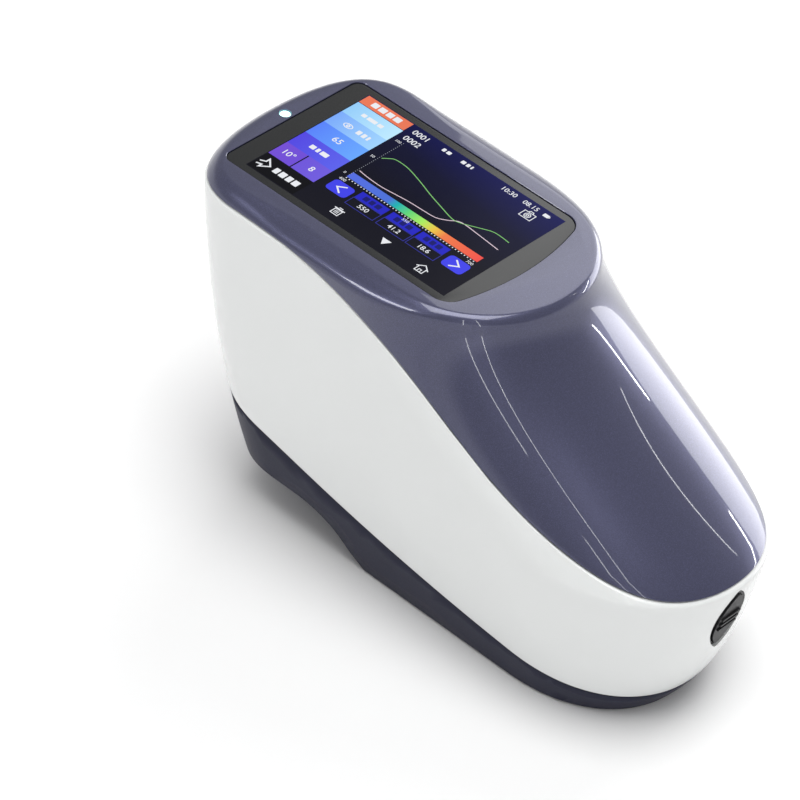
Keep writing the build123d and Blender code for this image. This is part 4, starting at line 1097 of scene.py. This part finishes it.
def lit(name, glow, strength):
    """A lit field of the display: its colour comes as light, with a little gloss from the glass."""
    return finish_of(
        "lit_" + name, LIT_BASE, uneven(*LIT_ROUGHNESS), Emission_Color=glow, Emission_Strength=strength,
        Specular_IOR_Level=0.04,
    )


def share_across(tree):
    """How far a point lies from the display's tall end towards the nose, 0 to 1."""
    return (along_axis(tree, "X") - (SCREEN_MID_X - SCREEN_LENGTH / 2) * MM) / (SCREEN_LENGTH * MM)


def across_shade(stops):
    """A colour that changes from the tall end to the nose along the lit display."""
    return lambda tree: node(tree, "ShaderNodeValToRGB", share_across(tree), settings={"stops": stops})


def background_shade(tree):
    """Navy towards the far side and the nose, nearly black below."""
    up = (along_axis(tree, "Y") + SCREEN_WIDTH / 2 * MM) / (SCREEN_WIDTH * MM)
    stops = [(at, srgb(*colour)) for at, colour in BACKGROUND_COLOURS]
    mix = up * BACKGROUND_MIX[1] + share_across(tree) * BACKGROUND_MIX[0]
    return node(tree, "ShaderNodeValToRGB", mix, settings={"stops": stops})


def draw_picture(on):
    """Fields, plot, bars in place of words, figures and small pictograms, each in its colour's mesh."""
    for colour, *field in TAB_FIELDS:
        tile(on(colour), *field)
    for colour, count, shift, *dot in DOTTED_AXES:
        for step in range(count):
            low, high = ([at + move * step for at, move in zip(spot, shift)] for spot in dot)
            tile(on(colour), low, high, MARK_LAYER)
    ribbon(on("green_line"), smoothed(UPPER_CURVE), CURVE_LINE)
    ribbon(on("pink_line"), smoothed(LOWER_CURVE), CURVE_LINE)
    for colour, *field in PLOT_FIELDS:
        tile(on(colour), *field)
    for colour, *bars in WORD_BARS:
        word_bars(on(colour), *bars)
    for colour, *box in FRAMES:
        outline_box(on(colour), *box)
    white = on("white")
    for figure in FIGURES:
        numbers(white, *figure)
    for spot, wide, tall, width, count in RINGS:
        ribbon(white, oval(spot, wide, tall, count), width, closed=True)
    for width, layer, spots in STROKES:
        ribbon(white, spots, width, layer)
    corners = [screen_point(*spot) * MM for spot in TRIANGLE]
    bmesh.ops.contextual_create(white, geom=[white.verts.new(corner) for corner in corners])


def build_screen(look):
    """The lit picture on the display: tabs, plot, spectrum strip, value cells and marks."""
    fields = {}

    def on(colour):
        return fields.setdefault(colour, bmesh.new())

    draw_picture(on)
    spectrum = [(at, srgb(*colour)) for at, colour in SPECTRUM_COLOURS]
    shades = {"background": background_shade, "spectrum": across_shade(spectrum)}
    for name, (left, right) in TAB_COLOURS.items():
        shades[name] = across_shade(((0.0, srgb(*left)), (TAB_SHADE_END, srgb(*right))))
    for name, colour in SCREEN_COLOURS.items():
        shades[name] = varied(srgb(*colour), *LIT_PATCHES)
    for name, mesh in fields.items():
        material = lit(name, shades[name], look.screen_glow)
        piece = piece_from(mesh, "screen_" + name, "display_panel", material=material)
        piece.data.shade_flat()


def aimed(at, target, turn):
    """The transform of a light or camera at a point that faces another, turned by degrees about its view."""
    facing = (target - at).to_track_quat("-Z", "Y").to_matrix().to_4x4()
    return Matrix.Translation(at) @ facing @ Matrix.Rotation(radians(turn), 4, "Z")


def light_panel(name, azimuth, elevation, wide, tall, turn, brightness):
    """A soft rectangular studio light that faces the object; its size is given as seen from there."""
    data = bpy.data.lights.new(name, "AREA")
    data.shape = "RECTANGLE"
    data.size, data.size_y = (2 * LIGHT_DISTANCE * tan(radians(a / 2)) for a in (wide, tall))
    data.energy = brightness * pi * data.size * data.size_y
    panel = new_object(name, data)
    around, up = radians(azimuth), radians(elevation)
    towards = Vector((cos(around) * cos(up), sin(around) * cos(up), sin(up)))
    aim = Vector(LIGHT_AIM)
    panel.matrix_world = aimed(aim + towards * LIGHT_DISTANCE, aim, turn)
    panel.visible_camera = False
    panel.visible_diffuse = name in SHADING_LIGHTS


def build_studio(look):
    """Plain pale floor, soft light and the camera at the photograph's angle."""
    mesh = bmesh.new()
    bmesh.ops.create_grid(mesh, x_segments=1, y_segments=1, size=FLOOR_HALF)
    floor = new_object("floor", mesh_data("floor", mesh))
    floor.data.materials.append(finish_of("floor_white", FLOOR_COLOUR, roughness=0.5))

    world = bpy.data.worlds.new("studio")
    bpy.context.scene.world = world
    world.use_nodes = True
    tree = world.node_tree
    sky = tree.nodes["Background"]
    height = node(tree, "ShaderNodeSeparateXYZ", node(tree, "ShaderNodeTexCoord", out="Generated"), out="Z")
    horizon = node(tree, "ShaderNodeValToRGB", height, settings={"stops": HORIZON_STOPS})
    tree.links.new(horizon.output, sky.inputs["Color"])
    sky.inputs["Strength"].default_value = look.ambient
    for name, values in STUDIO_LIGHTS.items():
        light_panel(name, *values)

    camera_data = bpy.data.cameras.new("camera")
    camera_data.sensor_width = SENSOR_WIDTH
    camera_data.lens = CAMERA_LENS
    camera = new_object("camera", camera_data)
    camera.matrix_world = aimed(Vector(CAMERA_AT), Vector(CAMERA_AIM), CAMERA_ROLL)
    bpy.context.scene.camera = camera
    bpy.context.scene.view_settings.view_transform = "Standard"


def length_setting(name, description, default, least=0.0001):
    """A length that a user would change, in metres."""
    return FloatProperty(name=name, description=description, default=default, min=least, unit="LENGTH")


def brightness_setting(name, description, default):
    """A brightness that a user would change."""
    return FloatProperty(name=name, description=description, default=default, min=0)


def colour_setting(name, description, *default):
    """A colour that a user would change."""
    return FloatVectorProperty(
        name=name, description=description, default=default, size=3, subtype="COLOR", min=0, max=1
    )


class SpectroSizes(PropertyGroup):
    """Sizes that a user would change."""

    seam_gap: length_setting("Seam gap", "Gap between cover, shell and base", 0.0003, least=0)
    lip_round: length_setting("Lip round", "Rounding of the white shell's top lip", 0.0009)
    glass_edge: length_setting("Glass edge", "Rounding of the display glass's edge", 0.0003)


class SpectroLook(PropertyGroup):
    """Colours and light that a user would change."""

    cover_colour: colour_setting("Cover", "Lacquer of the top cover", 0.040, 0.042, 0.092)
    shell_colour: colour_setting("Shell", "White of the side shell", 0.80, 0.815, 0.81)
    base_colour: colour_setting("Base", "Dark plastic of the base", 0.011, 0.012, 0.034)
    button_colour: colour_setting("Controls", "Black of the button, slider and sockets", 0.012, 0.012, 0.014)
    glass_colour: colour_setting("Glass border", "Print behind the display glass", 0.008, 0.009, 0.0095)
    status_glow: brightness_setting("Status light", "Brightness of the status light", 1.6)
    screen_glow: brightness_setting("Display light", "Brightness of the lit display", 1.0)
    ambient: brightness_setting("Ambient light", "Brightness of the studio's surroundings", 1.0)


class SPECTRO_OT_finishes(Operator):
    """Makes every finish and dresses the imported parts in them"""

    bl_idname = "spectro.finishes"
    bl_label = "Finishes"

    def execute(self, context):
        make_finishes(context.scene.spectro_look)
        dress_nodes()
        return {"FINISHED"}


class SPECTRO_OT_cover(Operator):
    """Builds the lacquered top cover"""

    bl_idname = "spectro.cover"
    bl_label = "Top cover"

    def execute(self, context):
        build_cover(context.scene.spectro_sizes)
        return {"FINISHED"}


class SPECTRO_OT_shell(Operator):
    """Builds the white side shell with its button opening and connector window"""

    bl_idname = "spectro.shell"
    bl_label = "Side shell"

    def execute(self, context):
        build_shell(context.scene.spectro_sizes)
        return {"FINISHED"}


class SPECTRO_OT_glass(Operator):
    """Builds the display's cover glass"""

    bl_idname = "spectro.glass"
    bl_label = "Display glass"

    def execute(self, context):
        build_glass(context.scene.spectro_sizes)
        return {"FINISHED"}


class SPECTRO_OT_screen(Operator):
    """Draws the lit picture on the display"""

    bl_idname = "spectro.screen"
    bl_label = "Display picture"

    def execute(self, context):
        build_screen(context.scene.spectro_look)
        return {"FINISHED"}


class SPECTRO_OT_studio(Operator):
    """Sets up the floor, the lights and the camera"""

    bl_idname = "spectro.studio"
    bl_label = "Studio"

    def execute(self, context):
        build_studio(context.scene.spectro_look)
        return {"FINISHED"}


STEPS = (
    SPECTRO_OT_finishes, SPECTRO_OT_cover, SPECTRO_OT_shell, SPECTRO_OT_glass, SPECTRO_OT_screen,
    SPECTRO_OT_studio,
)


class SPECTRO_PT_builder(Panel):
    """Lists the settings and the steps in the sidebar"""

    bl_idname = "SPECTRO_PT_builder"
    bl_label = "Spectrophotometer"
    bl_space_type = "VIEW_3D"
    bl_region_type = "UI"
    bl_category = "Spectrophotometer"

    def draw(self, context):
        for settings in (context.scene.spectro_sizes, context.scene.spectro_look):
            for name in settings.__annotations__:
                self.layout.prop(settings, name)
        for step in STEPS:
            self.layout.operator(step.bl_idname)


CLASSES = (SpectroSizes, SpectroLook, *STEPS, SPECTRO_PT_builder)


def register():
    """Registers the classes and hangs the settings on the scene."""
    for each in CLASSES:
        bpy.utils.register_class(each)
    bpy.types.Scene.spectro_sizes = PointerProperty(type=SpectroSizes)
    bpy.types.Scene.spectro_look = PointerProperty(type=SpectroLook)


def unregister():
    """Takes the settings and the classes away again."""
    del bpy.types.Scene.spectro_look
    del bpy.types.Scene.spectro_sizes
    for each in reversed(CLASSES):
        bpy.utils.unregister_class(each)


def main():
    """Builds the whole dressed object in order."""
    register()
    for step in STEPS:
        group, name = step.bl_idname.split(".")
        getattr(getattr(bpy.ops, group), name)()


if __name__ == "__main__":
    main()
